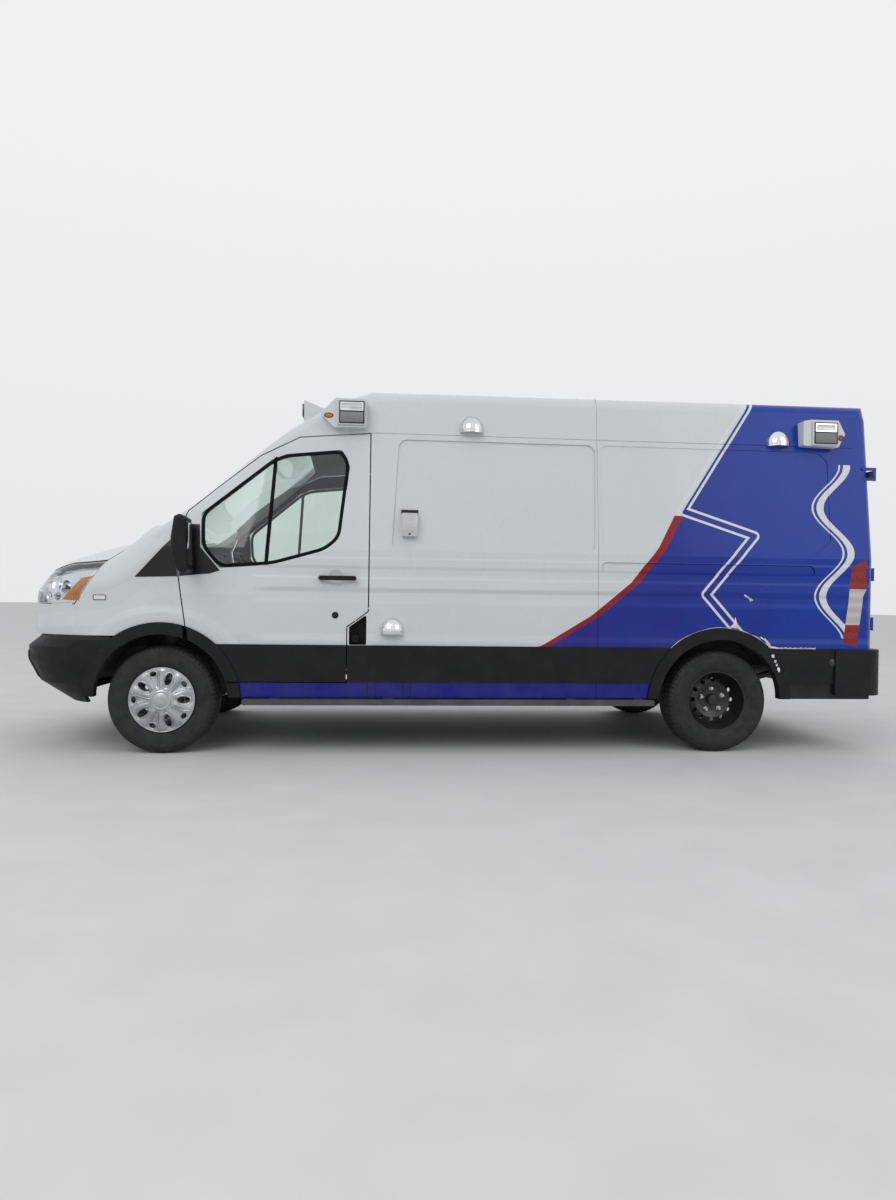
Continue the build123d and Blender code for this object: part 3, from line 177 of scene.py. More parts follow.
def lathe(centre, rings, segments=64, closed=False):
    # a turned piece about an axle along Y; each ring is (radius, distance along Y)
    deselectAll()
    radius, offset = rings[0]
    bpy.ops.mesh.primitive_circle_add(vertices=segments, radius=radius, rotation=(math.pi / 2, 0, 0),
                                      location=(centre[0], centre[1] + offset, centre[2]),
                                      fill_type="NOTHING" if closed else "NGON")
    piece = bpy.context.object
    bpy.ops.object.transform_apply(location=True, rotation=True, scale=True)
    bpy.ops.object.mode_set(mode="EDIT")
    bpy.ops.mesh.select_all(action="SELECT")
    for (lastRadius, lastOffset), (radius, offset) in zip(rings, rings[1:]):
        bpy.ops.mesh.extrude_region_move(TRANSFORM_OT_translate={"value": (0, offset - lastOffset, 0)})
        if radius == 0:
            bpy.ops.mesh.merge(type="CENTER")
            break
        share = radius / lastRadius
        bpy.ops.transform.resize(value=(share, 1, share), center_override=(centre[0], centre[1] + offset, centre[2]))
    bpy.ops.mesh.select_all(action="SELECT")
    if closed:
        bpy.ops.mesh.remove_doubles(threshold=0.00002)
    bpy.ops.mesh.normals_make_consistent(inside=False)
    bpy.ops.object.mode_set(mode="OBJECT")
    return piece


def block(low, high, bevel=0.0, segments=3):
    # a box between two corners, with rounded edges
    deselectAll()
    middle = [(a + b) / 2 for a, b in zip(low, high)]
    bpy.ops.mesh.primitive_cube_add(size=1, location=middle)
    piece = bpy.context.object
    piece.scale = [b - a for a, b in zip(low, high)]
    bpy.ops.object.transform_apply(location=True, rotation=True, scale=True)
    if bevel:
        bpy.ops.object.mode_set(mode="EDIT")
        bpy.ops.mesh.select_all(action="SELECT")
        bpy.ops.mesh.bevel(offset=bevel, segments=segments, affect="EDGES", clamp_overlap=True)
        bpy.ops.object.mode_set(mode="OBJECT")
    return piece


def recess(piece, test, rim, push, shrink=None, centre=None):
    # insets the chosen faces, moves them and can make them smaller
    onlyThis(piece)
    bpy.ops.object.mode_set(mode="EDIT")
    pickFaces(piece, test)
    bpy.ops.mesh.inset(thickness=rim)
    bpy.ops.mesh.extrude_region_move(TRANSFORM_OT_translate={"value": push})
    if shrink:
        bpy.ops.transform.resize(value=shrink, center_override=centre)
    bpy.ops.object.mode_set(mode="OBJECT")


def oval(station, height, wide, tall, count):
    # an outline round a point of the side, in millimetres
    turns = [2 * math.pi * k / count for k in range(count)]
    return [(station + wide * math.cos(a), height + tall * math.sin(a)) for a in turns]


def sidePlate(outline, y, thickness):
    # a flat piece on the side: its outline is a list of (station, height in mm), thickness grows towards the middle
    deselectAll()
    bpy.ops.mesh.primitive_circle_add(vertices=len(outline), fill_type="NGON")
    piece = bpy.context.object
    for vertex, (station, height) in zip(piece.data.vertices, outline):
        vertex.co = (along(station), y, height / 1000)
    bpy.ops.object.mode_set(mode="EDIT")
    bpy.ops.mesh.select_all(action="SELECT")
    bpy.ops.mesh.extrude_region_move(TRANSFORM_OT_translate={"value": (0, thickness, 0)})
    bpy.ops.mesh.select_all(action="SELECT")
    bpy.ops.mesh.normals_make_consistent(inside=False)
    bpy.ops.object.mode_set(mode="OBJECT")
    return piece


# Small helpers for materials


def plug(material, socket, value):
    if isinstance(value, bpy.types.NodeSocket):
        material.node_tree.links.new(value, socket)
    else:
        socket.default_value = value


def addNode(material, kind, sockets=None, **settings):
    made = material.node_tree.nodes.new("ShaderNode" + kind)
    for key, value in settings.items():
        setattr(made, key, value)
    for key, value in (sockets or {}).items():
        plug(material, made.inputs[key], value)
    return made


def calc(material, operation, first, second=0.0, third=0.0):
    made = addNode(material, "Math", {0: first, 1: second, 2: third}, operation=operation)
    return made.outputs[0]


def times(material, first, second):
    return calc(material, "MULTIPLY", first, second)


def plus(material, first, second):
    return calc(material, "ADD", first, second)


def minus(material, first, second):
    return calc(material, "SUBTRACT", first, second)


def lengthOf(material, first, second):
    return calc(material, "SQRT", plus(material, times(material, first, first), times(material, second, second)))


def fromAxle(material, x, z, axle):
    # how far a point lies behind an axle, above it and away from it
    dx, dz = minus(material, x, axle), minus(material, z, van["hubHeight"])
    return dx, dz, lengthOf(material, dx, dz)


def ramp(material, value, low, high, outLow=0.0, outHigh=1.0):
    made = addNode(material, "MapRange", {"Value": value, "From Min": low, "From Max": high, "To Min": outLow,
                                          "To Max": outHigh}, clamp=True)
    return made.outputs[0]


def blendColor(material, share, low, high):
    made = addNode(material, "Mix", data_type="RGBA")
    plug(material, made.inputs[0], share)
    for socket, value in ((made.inputs[6], low), (made.inputs[7], high)):
        plug(material, socket, value if isinstance(value, bpy.types.NodeSocket) else (*value, 1.0))
    return made.outputs[2]


def noise(material, scale, detail=3.0, stretch=(1, 1, 1)):
    where = addNode(material, "TexCoord").outputs["Object"]
    if stretch != (1, 1, 1):
        where = addNode(material, "Mapping", {"Vector": where, "Scale": stretch}).outputs[0]
    return addNode(material, "TexNoise", {"Vector": where, "Scale": scale, "Detail": detail}).outputs[0]


def position(material):
    where = addNode(material, "TexCoord").outputs["Object"]
    return addNode(material, "SeparateXYZ", {"Vector": where}).outputs


def newMaterial(name):
    material = bpy.data.materials.new(name)
    material.use_nodes = True
    return material, material.node_tree.nodes["Principled BSDF"]


def bumpFrom(material, shader, height, distance, strength=0.6, under=None):
    made = addNode(material, "Bump", {"Height": height, "Distance": distance, "Strength": strength})
    if under:
        plug(material, made.inputs["Normal"], under)
    plug(material, shader.inputs["Normal"], made.outputs[0])
    return made.outputs[0]


def roadDust(material, color, amount):
    # pale road dust that thickens towards the ground
    height = position(material)[2]
    patch = ramp(material, noise(material, 5.0, 6.0), 0.35, 0.75)
    share = times(material, ramp(material, height, 1.0, 0.15), times(material, patch, amount))
    return blendColor(material, share, color, (0.30, 0.28, 0.25))


# Finishes that are one colour with grain, wear and dust
finishes = {
    "blackPlastic": {"color": (0.0075, 0.0078, 0.0085), "rough": 0.5, "grain": 420, "depth": 0.0004, "shade": 0.25,
                     "dust": 0.03, "gloss": 0.22},
    "greyPlastic": {"color": (0.10, 0.10, 0.105), "rough": 0.55, "grain": 500, "depth": 0.0004, "shade": 0.15},
    "trimBlack": {"color": (0.006, 0.006, 0.0065), "rough": 0.3, "grain": 300, "depth": 0.0001, "shade": 0.2,
                  "gloss": 0.35},
    "rubber": {"color": (0.0045, 0.0045, 0.005), "rough": 0.7, "grain": 160, "depth": 0.0003, "shade": 0.3,
               "dust": 0.01, "gloss": 0.1},
    "chassisBlack": {"color": (0.012, 0.012, 0.013), "rough": 0.6, "grain": 60, "depth": 0.0008, "shade": 0.4,
                     "dust": 0.15},
    "wheelBlack": {"color": (0.008, 0.008, 0.009), "rough": 0.3, "grain": 120, "depth": 0.0002, "shade": 0.3,
                   "dust": 0.08},
    "castIron": {"color": (0.07, 0.068, 0.066), "rough": 0.65, "metal": 0.6, "grain": 220, "depth": 0.0008,
                 "shade": 0.3, "dust": 0.5},
    "silverCover": {"color": (0.46, 0.47, 0.49), "rough": 0.26, "metal": 0.9, "grain": 90, "depth": 0.0001,
                    "shade": 0.15, "dust": 0.12},
    "stepMetal": {"color": (0.07, 0.07, 0.075), "rough": 0.5, "metal": 0.3, "grain": 200, "depth": 0.0002,
                  "shade": 0.2, "dust": 0.1},
    "stainless": {"color": (0.6, 0.6, 0.61), "rough": 0.26, "metal": 1.0, "grain": 240, "depth": 0.0002,
                  "shade": 0.12, "stretch": (1, 1, 12)},
    "chrome": {"color": (0.78, 0.79, 0.8), "rough": 0.08, "metal": 1.0, "grain": 30, "depth": 0.0001,
               "shade": 0.06},
    "exhaustSteel": {"color": (0.34, 0.31, 0.28), "rough": 0.5, "metal": 0.9, "grain": 40, "depth": 0.0005,
                     "shade": 0.4, "dust": 0.4},
    "aluminium": {"color": (0.5, 0.51, 0.52), "rough": 0.42, "metal": 0.9, "grain": 200, "depth": 0.0002,
                  "shade": 0.12, "dust": 0.3},
    "cabinetBoard": {"color": (0.62, 0.62, 0.59), "rough": 0.35, "grain": 300, "depth": 0.0001, "shade": 0.05},
    "mirrorFace": {"color": (0.80, 0.82, 0.83), "rough": 0.03, "metal": 1.0, "grain": 20, "depth": 0.00002,
                   "shade": 0.03},
    "tornVinyl": {"color": (0.62, 0.63, 0.64), "rough": 0.45, "grain": 120, "depth": 0.002, "shade": 0.4},
    "smokedLens": {"color": (0.03, 0.025, 0.025), "rough": 0.12, "grain": 260, "depth": 0.0003, "shade": 0.4},
    "seatCloth": {"color": (0.20, 0.17, 0.145), "rough": 0.9, "grain": 900, "depth": 0.001, "shade": 0.35},
    "benchVinyl": {"color": (0.05, 0.09, 0.22), "rough": 0.45, "grain": 260, "depth": 0.0006, "shade": 0.2},
}


def makeFinish(name, spec):
    material, shader = newMaterial(name)
    base = spec["color"]
    dark = tuple(c * (1 - spec["shade"]) for c in base)
    light = tuple(min(1.0, c * (1 + spec["shade"])) for c in base)
    stretch = spec.get("stretch", (1, 1, 1))
    color = blendColor(material, ramp(material, noise(material, 7.0, 4.0), 0.35, 0.65), dark, light)
    if spec.get("dust"):
        color = roadDust(material, color, spec["dust"])
    plug(material, shader.inputs["Base Color"], color)
    shader.inputs["Metallic"].default_value = spec.get("metal", 0.0)
    shader.inputs["Specular IOR Level"].default_value = spec.get("gloss", 0.5)
    wear = noise(material, 18.0, 5.0)
    plug(material, shader.inputs["Roughness"],
         ramp(material, wear, 0.3, 0.7, spec["rough"] * 0.82, min(1.0, spec["rough"] * 1.2)))
    bumpFrom(material, shader, noise(material, spec["grain"], 2.0, stretch), spec["depth"])
    return material


look = {name: makeFinish(name, spec) for name, spec in finishes.items()}
print("plain finishes made:", len(look))

# Body paint with the vinyl graphics: stations and heights in millimetres
graphics = {
    "white": (0.62, 0.645, 0.655),
    "purple": (0.014, 0.010, 0.19),
    "blue": (0.004, 0.032, 0.29),
    "red": (0.25, 0.010, 0.016),
    "stripeBlue": (0.006, 0.007, 0.22),
    "line": (0.66, 0.68, 0.69),
    "edge": ((3480, 690), (3590, 735), (3917, 935), (4192, 1163), (4386, 1405), (4500, 1625), (4500, 1660),
             (4980, 2400), (5080, 2560)),
    "redWidth": 60,
    "zigzag": ((5080, 2560), (4500, 1665), (5010, 1500), (4660, 1090), (5010, 700)),
    "lineGap": 27,
    "lineWidth": 17,
    "wave": {"station": 5600, "swing": 105, "pitch": 620, "low": 800, "high": 2020, "width": 26},
    "stripeBreaks": (2356, 2411, 2592, 2640),
    # stations between which the metal behind the cladding takes painted shade
    "shadeBehindCladding": (1500, 5700),
}


def polylineAt(material, height, points):
    # the station of a broken line at each height, as a curve node
    curveNode = addNode(material, "FloatCurve")
    curve = curveNode.mapping.curves[0]
    lowZ, highZ = points[0][1] / 1000, points[-1][1] / 1000
    lowX = min(p[0] for p in points) / 1000
    highX = max(p[0] for p in points) / 1000
    curve.points[0].location = (0, (points[0][0] / 1000 - lowX) / (highX - lowX))
    curve.points[1].location = (1, (points[-1][0] / 1000 - lowX) / (highX - lowX))
    for station, z in points[1:-1]:
        curve.points.new((z / 1000 - lowZ) / (highZ - lowZ), (station / 1000 - lowX) / (highX - lowX))
    for point in curve.points:
        point.handle_type = "VECTOR"
    curveNode.mapping.update()
    plug(material, curveNode.inputs["Value"], ramp(material, height, lowZ, highZ))
    return calc(material, "MULTIPLY_ADD", curveNode.outputs[0], highX - lowX, lowX - van["length"] / 2)


def segmentDistance(material, x, z, start, end):
    # how far a point of the side lies from a straight line between two points
    ax, az, bx, bz = along(start[0]), start[1] / 1000, along(end[0]), end[1] / 1000
    dx, dz = bx - ax, bz - az
    reach = dx * dx + dz * dz
    px = minus(material, x, ax)
    pz = minus(material, z, az)
    share = plus(material, times(material, px, dx / reach), times(material, pz, dz / reach))
    share = ramp(material, share, 0, 1)
    qx = minus(material, px, times(material, share, dx))
    qz = minus(material, pz, times(material, share, dz))
    return lengthOf(material, qx, qz)


# Soft pressings in the panels: the bulge's distances from the front axle, the station where the folds begin, and
# each fold's upper height, lower height and depth in metres
pressing = {
    "bulgeOuter": 0.625,
    "bulgeInner": 0.565,
    "bulgeDepth": 0.016,
    "foldStart": 1560,
    "folds": ((1.310, 1.288, 0.005), (1.250, 1.222, -0.005), (1.178, 1.158, 0.005), (1.108, 1.066, -0.011),
              (1.048, 0.990, 0.007), (0.800, 0.745, 0.013)),
}


def smooth(material, value, low, high):
    made = addNode(material, "MapRange", {"Value": value, "From Min": low, "From Max": high}, clamp=True,
                   interpolation_type="SMOOTHSTEP")
    return made.outputs[0]


def makePaint(name, withGraphics):
    material, shader = newMaterial(name)
    x, y, z = position(material)
    tone = ramp(material, noise(material, 2.2, 3.0), 0.3, 0.7)
    white = blendColor(material, tone, tuple(c * 0.965 for c in graphics["white"]), graphics["white"])
    color = white
    if withGraphics:
        edge = polylineAt(material, z, graphics["edge"])
        inside = calc(material, "GREATER_THAN", x, edge)
        fade = ramp(material, plus(material, x, times(material, z, 0.25)), 1.1, 2.75)
        blue = blendColor(material, fade, graphics["purple"], graphics["blue"])
        blotch = ramp(material, noise(material, 1.6, 2.0), 0.35, 0.7)
        blue = blendColor(material, times(material, blotch, 0.35), blue, (0.008, 0.045, 0.36))
        color = blendColor(material, inside, color, blue)
        redZone = calc(material, "GREATER_THAN", x, minus(material, edge, graphics["redWidth"] / 1000))
        redZone = times(material, redZone, minus(material, 1.0, inside))
        redZone = times(material, redZone, calc(material, "LESS_THAN", z, 1.63))
        color = blendColor(material, redZone, color, graphics["red"])
        nearest = None
        for start, end in zip(graphics["zigzag"], graphics["zigzag"][1:]):
            distance = segmentDistance(material, x, z, start, end)
            nearest = distance if nearest is None else calc(material, "MINIMUM", nearest, distance)
        gap = calc(material, "ABSOLUTE", minus(material, nearest, graphics["lineGap"] / 1000))
        lines = calc(material, "LESS_THAN", gap, graphics["lineWidth"] / 2000)
        color = blendColor(material, lines, color, graphics["line"])
        wave = graphics["wave"]
        phase = times(material, z, 2 * math.pi * 1000 / wave["pitch"])
        swing = times(material, calc(material, "SINE", phase), wave["swing"] / 1000)
        offset = minus(material, minus(material, x, along(wave["station"])), swing)
        ribbon = calc(material, "LESS_THAN", calc(material, "ABSOLUTE", offset), wave["width"] / 1000)
        second = calc(material, "LESS_THAN", calc(material, "ABSOLUTE", plus(material, offset, 0.055)), 0.007)
        ribbon = calc(material, "MAXIMUM", ribbon, second)
        for operation, limit in (("GREATER_THAN", wave["low"]), ("LESS_THAN", wave["high"])):
            ribbon = times(material, ribbon, calc(material, operation, z, limit / 1000))
        side = calc(material, "GREATER_THAN", calc(material, "ABSOLUTE", y), 0.82)
        color = blendColor(material, times(material, ribbon, side), color, graphics["line"])
    # painted shade: the metal behind the cladding is painted near black, so that the joints between the cladding pieces
    # look shaded
    shadeBehindCladding = calc(material, "LESS_THAN", z, van["claddingTop"])
    for operation, station in (("GREATER_THAN", graphics["shadeBehindCladding"][0]), ("LESS_THAN", graphics["shadeBehindCladding"][1])):
        shadeBehindCladding = times(material, shadeBehindCladding, calc(material, operation, x, along(station)))
    color = blendColor(material, shadeBehindCladding, color, (0.008, 0.008, 0.009))
    sill = calc(material, "LESS_THAN", z, van["sillTop"])
    color = blendColor(material, sill, color, graphics["stripeBlue"])
    behind = times(material, calc(material, "GREATER_THAN", x, along(van["rearAxle"])), sill)
    color = blendColor(material, behind, color, (0.008, 0.008, 0.009))
    for station in graphics["stripeBreaks"]:
        bar = calc(material, "LESS_THAN", calc(material, "ABSOLUTE", minus(material, x, along(station))), 0.006)
        color = blendColor(material, times(material, bar, sill), color, (0.01, 0.01, 0.012))
    color = roadDust(material, color, 0.10)
    plug(material, shader.inputs["Base Color"], color)
    gloss = smooth(material, noise(material, 3.0, 1.0), 0.2, 0.8)
    plug(material, shader.inputs["Roughness"], calc(material, "MULTIPLY_ADD", gloss, 0.04, 0.26))
    shader.inputs["Specular IOR Level"].default_value = 0.25
    shader.inputs["Coat Weight"].default_value = 0.12
    shader.inputs["Coat Roughness"].default_value = 0.06
    # pressed forms: the bulge round the front arch, and the folds along the side
    reach = fromAxle(material, x, z, along(van["frontAxle"]))[2]
    bulge = smooth(material, reach, pressing["bulgeOuter"], pressing["bulgeInner"])
    behindArch = smooth(material, x, along(pressing["foldStart"]), along(pressing["foldStart"] + 160))
    folded = 0.0
    for top, bottom, depth in pressing["folds"]:
        folded = calc(material, "MULTIPLY_ADD", smooth(material, z, top, bottom), depth, folded)
    onWall = calc(material, "GREATER_THAN", calc(material, "ABSOLUTE", y), 0.85)
    folded = times(material, times(material, folded, behindArch), onWall)
    under = bumpFrom(material, shader, bulge, pressing["bulgeDepth"], 1.0)
    bumpFrom(material, shader, folded, 1.0, 1.0, under)
    return material


def pressSpokes(material):
    # the wheel cover swells between its openings and sinks round them
    shader = material.node_tree.nodes["Principled BSDF"]
    x, y, z = position(material)
    dx, dz, reach = fromAxle(material, x, z, along(van["frontAxle"]))
    turns = times(material, calc(material, "ARCTAN2", dz, dx), 10)
    wave = minus(material, 0.0, calc(material, "COSINE", turns))
    inner, outer = smooth(material, reach, 0.07, 0.10), smooth(material, reach, 0.208, 0.185)
    wave = times(material, wave, times(material, inner, outer))
    bumpFrom(material, shader, wave, 0.0045, 1.0)


pressSpokes(look["silverCover"])
look["paint"] = makePaint("bodyPaint", False)
look["wrap"] = makePaint("bodyPaintWithGraphics", True)


def makeGlass(name, tint, rough=0.0, through=1.0):
    material, shader = newMaterial(name)
    smear = ramp(material, noise(material, 4.0, 5.0, (1, 1, 0.4)), 0.4, 0.8)
    plug(material, shader.inputs["Base Color"], blendColor(material, smear, tint, tuple(c * 0.93 for c in tint)))
    shader.inputs["Transmission Weight"].default_value = through
    shader.inputs["IOR"].default_value = 1.45
    plug(material, shader.inputs["Roughness"], ramp(material, smear, 0, 1, rough, rough + 0.03))
    return material


look["windowGlass"] = makeGlass("windowGlass", (0.80, 0.88, 0.85))
look["privacyGlass"] = makeGlass("privacyGlass", (0.10, 0.11, 0.12))
look["clearLens"] = makeGlass("clearLens", (0.93, 0.95, 0.97), 0.02)
look["amberLens"] = makeGlass("amberLens", (0.95, 0.34, 0.03), 0.08, 0.55)
look["redLens"] = makeGlass("redLens", (0.62, 0.012, 0.015), 0.06, 0.45)
look["greyLens"] = makeGlass("greyLens", (0.30, 0.31, 0.32), 0.12, 0.25)


# Tail lamps: a red lens with a clear band, broad bands of shade and small cells; heights and pitches in metres
tailLens = {
    "clearBand": (0.894, 1.144),
    "bandPitch": 0.07,
    "ribPitch": 0.012,
    "cellPitch": 0.016,
    "cellDepth": 0.0016,
    "red": ((0.34, 0.002, 0.005), (0.12, 0.001, 0.002)),
    "clear": ((0.66, 0.62, 0.61), (0.40, 0.36, 0.36)),
}


def waves(material, value, pitch):
    return calc(material, "SINE", times(material, value, 2 * math.pi / pitch))


def makeTailLens():
    material, shader = newMaterial("tailLens")
    x, y, z = position(material)
    low, high = tailLens["clearBand"]
    isClear = times(material, calc(material, "GREATER_THAN", z, low), calc(material, "LESS_THAN", z, high))
    shade = ramp(material, waves(material, z, tailLens["bandPitch"]), -1, 1, 0.0, 0.55)
    red = blendColor(material, shade, *tailLens["red"])
    pale = blendColor(material, shade, *tailLens["clear"])
    plug(material, shader.inputs["Base Color"], blendColor(material, isClear, red, pale))
    shader.inputs["Roughness"].default_value = 0.1
    shader.inputs["Transmission Weight"].default_value = 0.15
    shader.inputs["Specular IOR Level"].default_value = 0.35
    shader.inputs["Coat Weight"].default_value = 0.15
    ribs = waves(material, z, tailLens["ribPitch"])
    across = waves(material, plus(material, x, y), tailLens["cellPitch"])
    bumpFrom(material, shader, times(material, ribs, across), tailLens["cellDepth"], 0.6)
    return material


look["tailLens"] = makeTailLens()

# Which finish each piece of the frame takes
dressing = {
    "wrap": ("side_left", "side_right", "sliding_door", "roof", "rear_door_left", "rear_door_right"),
    "paint": ("cab_frame", "door_left", "door_right", "bonnet", "nose_panel", "fender_left", "fender_right",
              "corner_pods", "roof_fairing"),
    "windowGlass": ("door_glass_left", "door_glass_right", "windscreen"),
    "privacyGlass": ("sliding_door_glass", "rear_glass_left", "rear_glass_right"),
    "blackPlastic": ("door_trim_left", "door_trim_right", "cladding", "front_bumper", "rear_bumper", "grille",
                     "fuel_filler", "wipers", "steering_wheel"),
    "greyPlastic": ("dashboard",),
    "chassisBlack": ("floor", "firewall", "fuel_tank"),
    "castIron": ("engine", "rear_axle", "front_suspension", "knuckle_left", "knuckle_right"),
    "silverCover": ("wheel_front_left", "wheel_front_right"),
    "wheelBlack": ("wheel_rear_left", "wheel_rear_right"),
    "rubber": ("tyre_front_left", "tyre_front_right", "tyre_rear_left", "tyre_rear_right"),
    "aluminium": ("radiator",),
    "stepMetal": ("side_steps",),
    "exhaustSteel": ("exhaust",),
    "cabinetBoard": ("bulkhead", "cabinet"),
    "seatCloth": ("seats",),
    "benchVinyl": ("bench",),
    "chrome": ("dome_lamps", "headlamp_housings"),
    "stainless": ("inlet_cover",),
    "clearLens": ("headlamps", "warning_bar"),
    "tailLens": ("tail_lamps",),
}
for finish, names in dressing.items():
    for name in names:
        piece = nodes[name]
        piece.data.materials.clear()
        piece.data.materials.append(look[finish])
        for polygon in piece.data.polygons:
            polygon.material_index = 0
        onlyThis(piece)
        bpy.ops.object.shade_smooth_by_angle(angle=math.radians(28))
print("frame pieces dressed:", sum(len(names) for names in dressing.values()))

# Places on the skin, found by looking at the frame from outside


def skinTree(names):
    vertices, faces = [], []
    for name in names:
        mesh = nodes[name].data
        start = len(vertices)
        vertices += [vertex.co.copy() for vertex in mesh.vertices]
        faces += [[start + index for index in polygon.vertices] for polygon in mesh.polygons]
    return BVHTree.FromPolygons(vertices, faces)


sideSkin = skinTree(("side_left", "door_left", "cab_frame", "fender_left", "nose_panel", "headlamps", "roof"))
glassSkin = skinTree(("door_glass_left", "door_left"))
claddingSkin = skinTree(("door_trim_left", "cladding", "front_bumper", "rear_bumper"))
tailSkin = skinTree(("rear_door_left", "rear_door_right", "side_left", "side_right", "roof", "rear_bumper"))
tailGlass = skinTree(("rear_glass_left", "rear_glass_right"))
noseSkin = skinTree(("nose_panel", "headlamps", "grille", "bonnet", "front_bumper", "fender_left"))


def onSide(station, height, lift=0.0, tree=sideSkin):
    hit = tree.ray_cast(Vector((along(station), -1.3, height / 1000)), Vector((0, 1, 0)))[0]
    return Vector((along(station), (hit.y if hit else -0.98) - lift, height / 1000))


def onGlass(station, height, lift=0.0):
    return onSide(station, height, lift, glassSkin)


def onCladding(station, height, lift=0.0):
    return onSide(station, height, lift, claddingSkin)


def onTail(y, height, lift=0.0, tree=tailSkin):
    hit = tree.ray_cast(Vector((3.2, y / 1000, height / 1000)), Vector((-1, 0, 0)))[0]
    return Vector(((hit.x if hit else 2.9) + lift, y / 1000, height / 1000))


def onTailGlass(y, height, lift=0.0):
    return onTail(y, height, lift, tailGlass)


def onNose(y, height, lift=0.0):
    hit = noseSkin.ray_cast(Vector((-3.2, y / 1000, height / 1000)), Vector((1, 0, 0)))[0]
    return Vector(((hit.x if hit else -2.8) - lift, y / 1000, height / 1000))


inwards = {onSide: (0, 1, 0), onGlass: (0, 1, 0), onCladding: (0, 1, 0), onTail: (-1, 0, 0),
           onTailGlass: (-1, 0, 0), onNose: (1, 0, 0)}


def thicken(piece, place, depth):
    # gives a flat sheet its thickness, towards the inside
    onlyThis(piece)
    bpy.ops.object.mode_set(mode="EDIT")
    bpy.ops.mesh.select_all(action="SELECT")
    push = tuple(depth * part for part in inwards[place])
    bpy.ops.mesh.extrude_region_move(TRANSFORM_OT_translate={"value": push})
    bpy.ops.mesh.select_all(action="SELECT")
    bpy.ops.mesh.normals_make_consistent(inside=False)
    bpy.ops.object.mode_set(mode="OBJECT")
    return piece


def patch(outline, place, lift, depth, cell=30):
    # a plate that follows the skin; its outline is convex, in millimetres
    deselectAll()
    us = [u for u, v in outline]
    vs = [v for u, v in outline]
    wide, tall = max(us) - min(us), max(vs) - min(vs)
    centre = ((max(us) + min(us)) / 2000, 0, (max(vs) + min(vs)) / 2000)
    columns, rows = max(2, round(wide / cell)), max(2, round(tall / cell))
    bpy.ops.mesh.primitive_grid_add(x_subdivisions=columns, y_subdivisions=rows, size=1, location=centre,
                                    rotation=(math.pi / 2, 0, 0))
    piece = bpy.context.object
    piece.scale = (wide / 1000, tall / 1000, 1)
    bpy.ops.object.transform_apply(location=True, rotation=True, scale=True)
    corners = [Vector((u / 1000, 0, v / 1000)) for u, v in outline]
    middle = sum(corners, Vector()) / len(corners)
    bpy.ops.object.mode_set(mode="EDIT")
    for start, end in zip(corners, corners[1:] + corners[:1]):
        outward = Vector((end.z - start.z, 0, start.x - end.x))
        if outward.dot(start - middle) < 0:
            outward = -outward
        bpy.ops.mesh.select_all(action="SELECT")
        bpy.ops.mesh.bisect(plane_co=start, plane_no=outward, clear_outer=True)
    bpy.ops.object.mode_set(mode="OBJECT")
    for vertex in piece.data.vertices:
        vertex.co = place(vertex.co.x * 1000, vertex.co.z * 1000, lift)
    return thicken(piece, place, depth)


def rounded(outline, radius, steps=5):
    # the outline with its corners rounded
    result = []
    for index, corner in enumerate(outline):
        here = Vector(corner)
        before = Vector(outline[index - 1]) - here
        after = Vector(outline[(index + 1) % len(outline)]) - here
        cut = min(radius, before.length * 0.45, after.length * 0.45)
        first, last = here + before.normalized() * cut, here + after.normalized() * cut
        for step in range(steps + 1):
            t = step / steps
            result.append(tuple((1 - t) ** 2 * first + 2 * t * (1 - t) * here + t * t * last))
    return result


def grown(outline, amount):
    # the outline moved outwards by an amount, along the bisector at each corner
    middle = sum((Vector(corner) for corner in outline), Vector((0, 0))) / len(outline)
    result = []
    for index, corner in enumerate(outline):
        here = Vector(corner)
        before = (here - Vector(outline[index - 1])).normalized()
        after = (Vector(outline[(index + 1) % len(outline)]) - here).normalized()
        side = Vector((before.y + after.y, -before.x - after.x)).normalized()
        if side.dot(here - middle) < 0:
            side = -side
        spread = max(0.5, abs(side.dot(Vector((before.y, -before.x)))))
        result.append(tuple(here + side * (amount / spread)))
    return result


def nextRing(piece, before, after):
    # extrudes the chosen ring of edges and puts its points in their new places
    bpy.ops.object.mode_set(mode="EDIT")
    bpy.ops.mesh.extrude_region_move()
    bpy.ops.object.mode_set(mode="OBJECT")
    for vertex in piece.data.vertices:
        if vertex.select:
            near = min(range(len(before)), key=lambda index: (before[index] - vertex.co).length_squared)
            vertex.co = after[near]


def ringsOn(rings, place):
    # a band through outlines laid on the skin, each with as many points and its own lift
    deselectAll()
    bpy.ops.mesh.primitive_circle_add(vertices=len(rings[0][0]), radius=1)
    piece = bpy.context.object
    spots = [[place(u, v, lift) for u, v in outline] for outline, lift in rings]
    for vertex, spot in zip(piece.data.vertices, spots[0]):
        vertex.co = spot
        vertex.select = True
    for before, after in zip(spots, spots[1:]):
        nextRing(piece, before, after)
    return piece


def ringPatch(outer, inner, place, lift, depth):
    # a flat ring between two outlines, laid on the skin
    return thicken(ringsOn(((outer, lift), (inner, lift)), place), place, depth)


def dish(rings, place, depth):
    # a bowl that follows the skin, from its rim to its closed bottom
    piece = ringsOn(rings, place)
    bpy.ops.object.mode_set(mode="EDIT")
    bpy.ops.mesh.edge_face_add()
    bpy.ops.object.mode_set(mode="OBJECT")
    return thicken(piece, place, depth)


def tube(points, radius, closed=False, sides=3):
    # a round bar through points in metres
    curve = bpy.data.curves.new("bar", "CURVE")
    curve.dimensions = "3D"
    spline = curve.splines.new("POLY")
    spline.points.add(len(points) - 1)
    for point, spot in zip(spline.points, points):
        point.co = (*spot, 1)
    spline.use_cyclic_u = closed
    curve.bevel_depth = radius
    curve.bevel_resolution = sides
    curve.use_fill_caps = not closed
    piece = bpy.data.objects.new("bar", curve)
    bpy.context.scene.collection.objects.link(piece)
    onlyThis(piece)
    bpy.ops.object.convert(target="MESH")
    return bpy.context.object


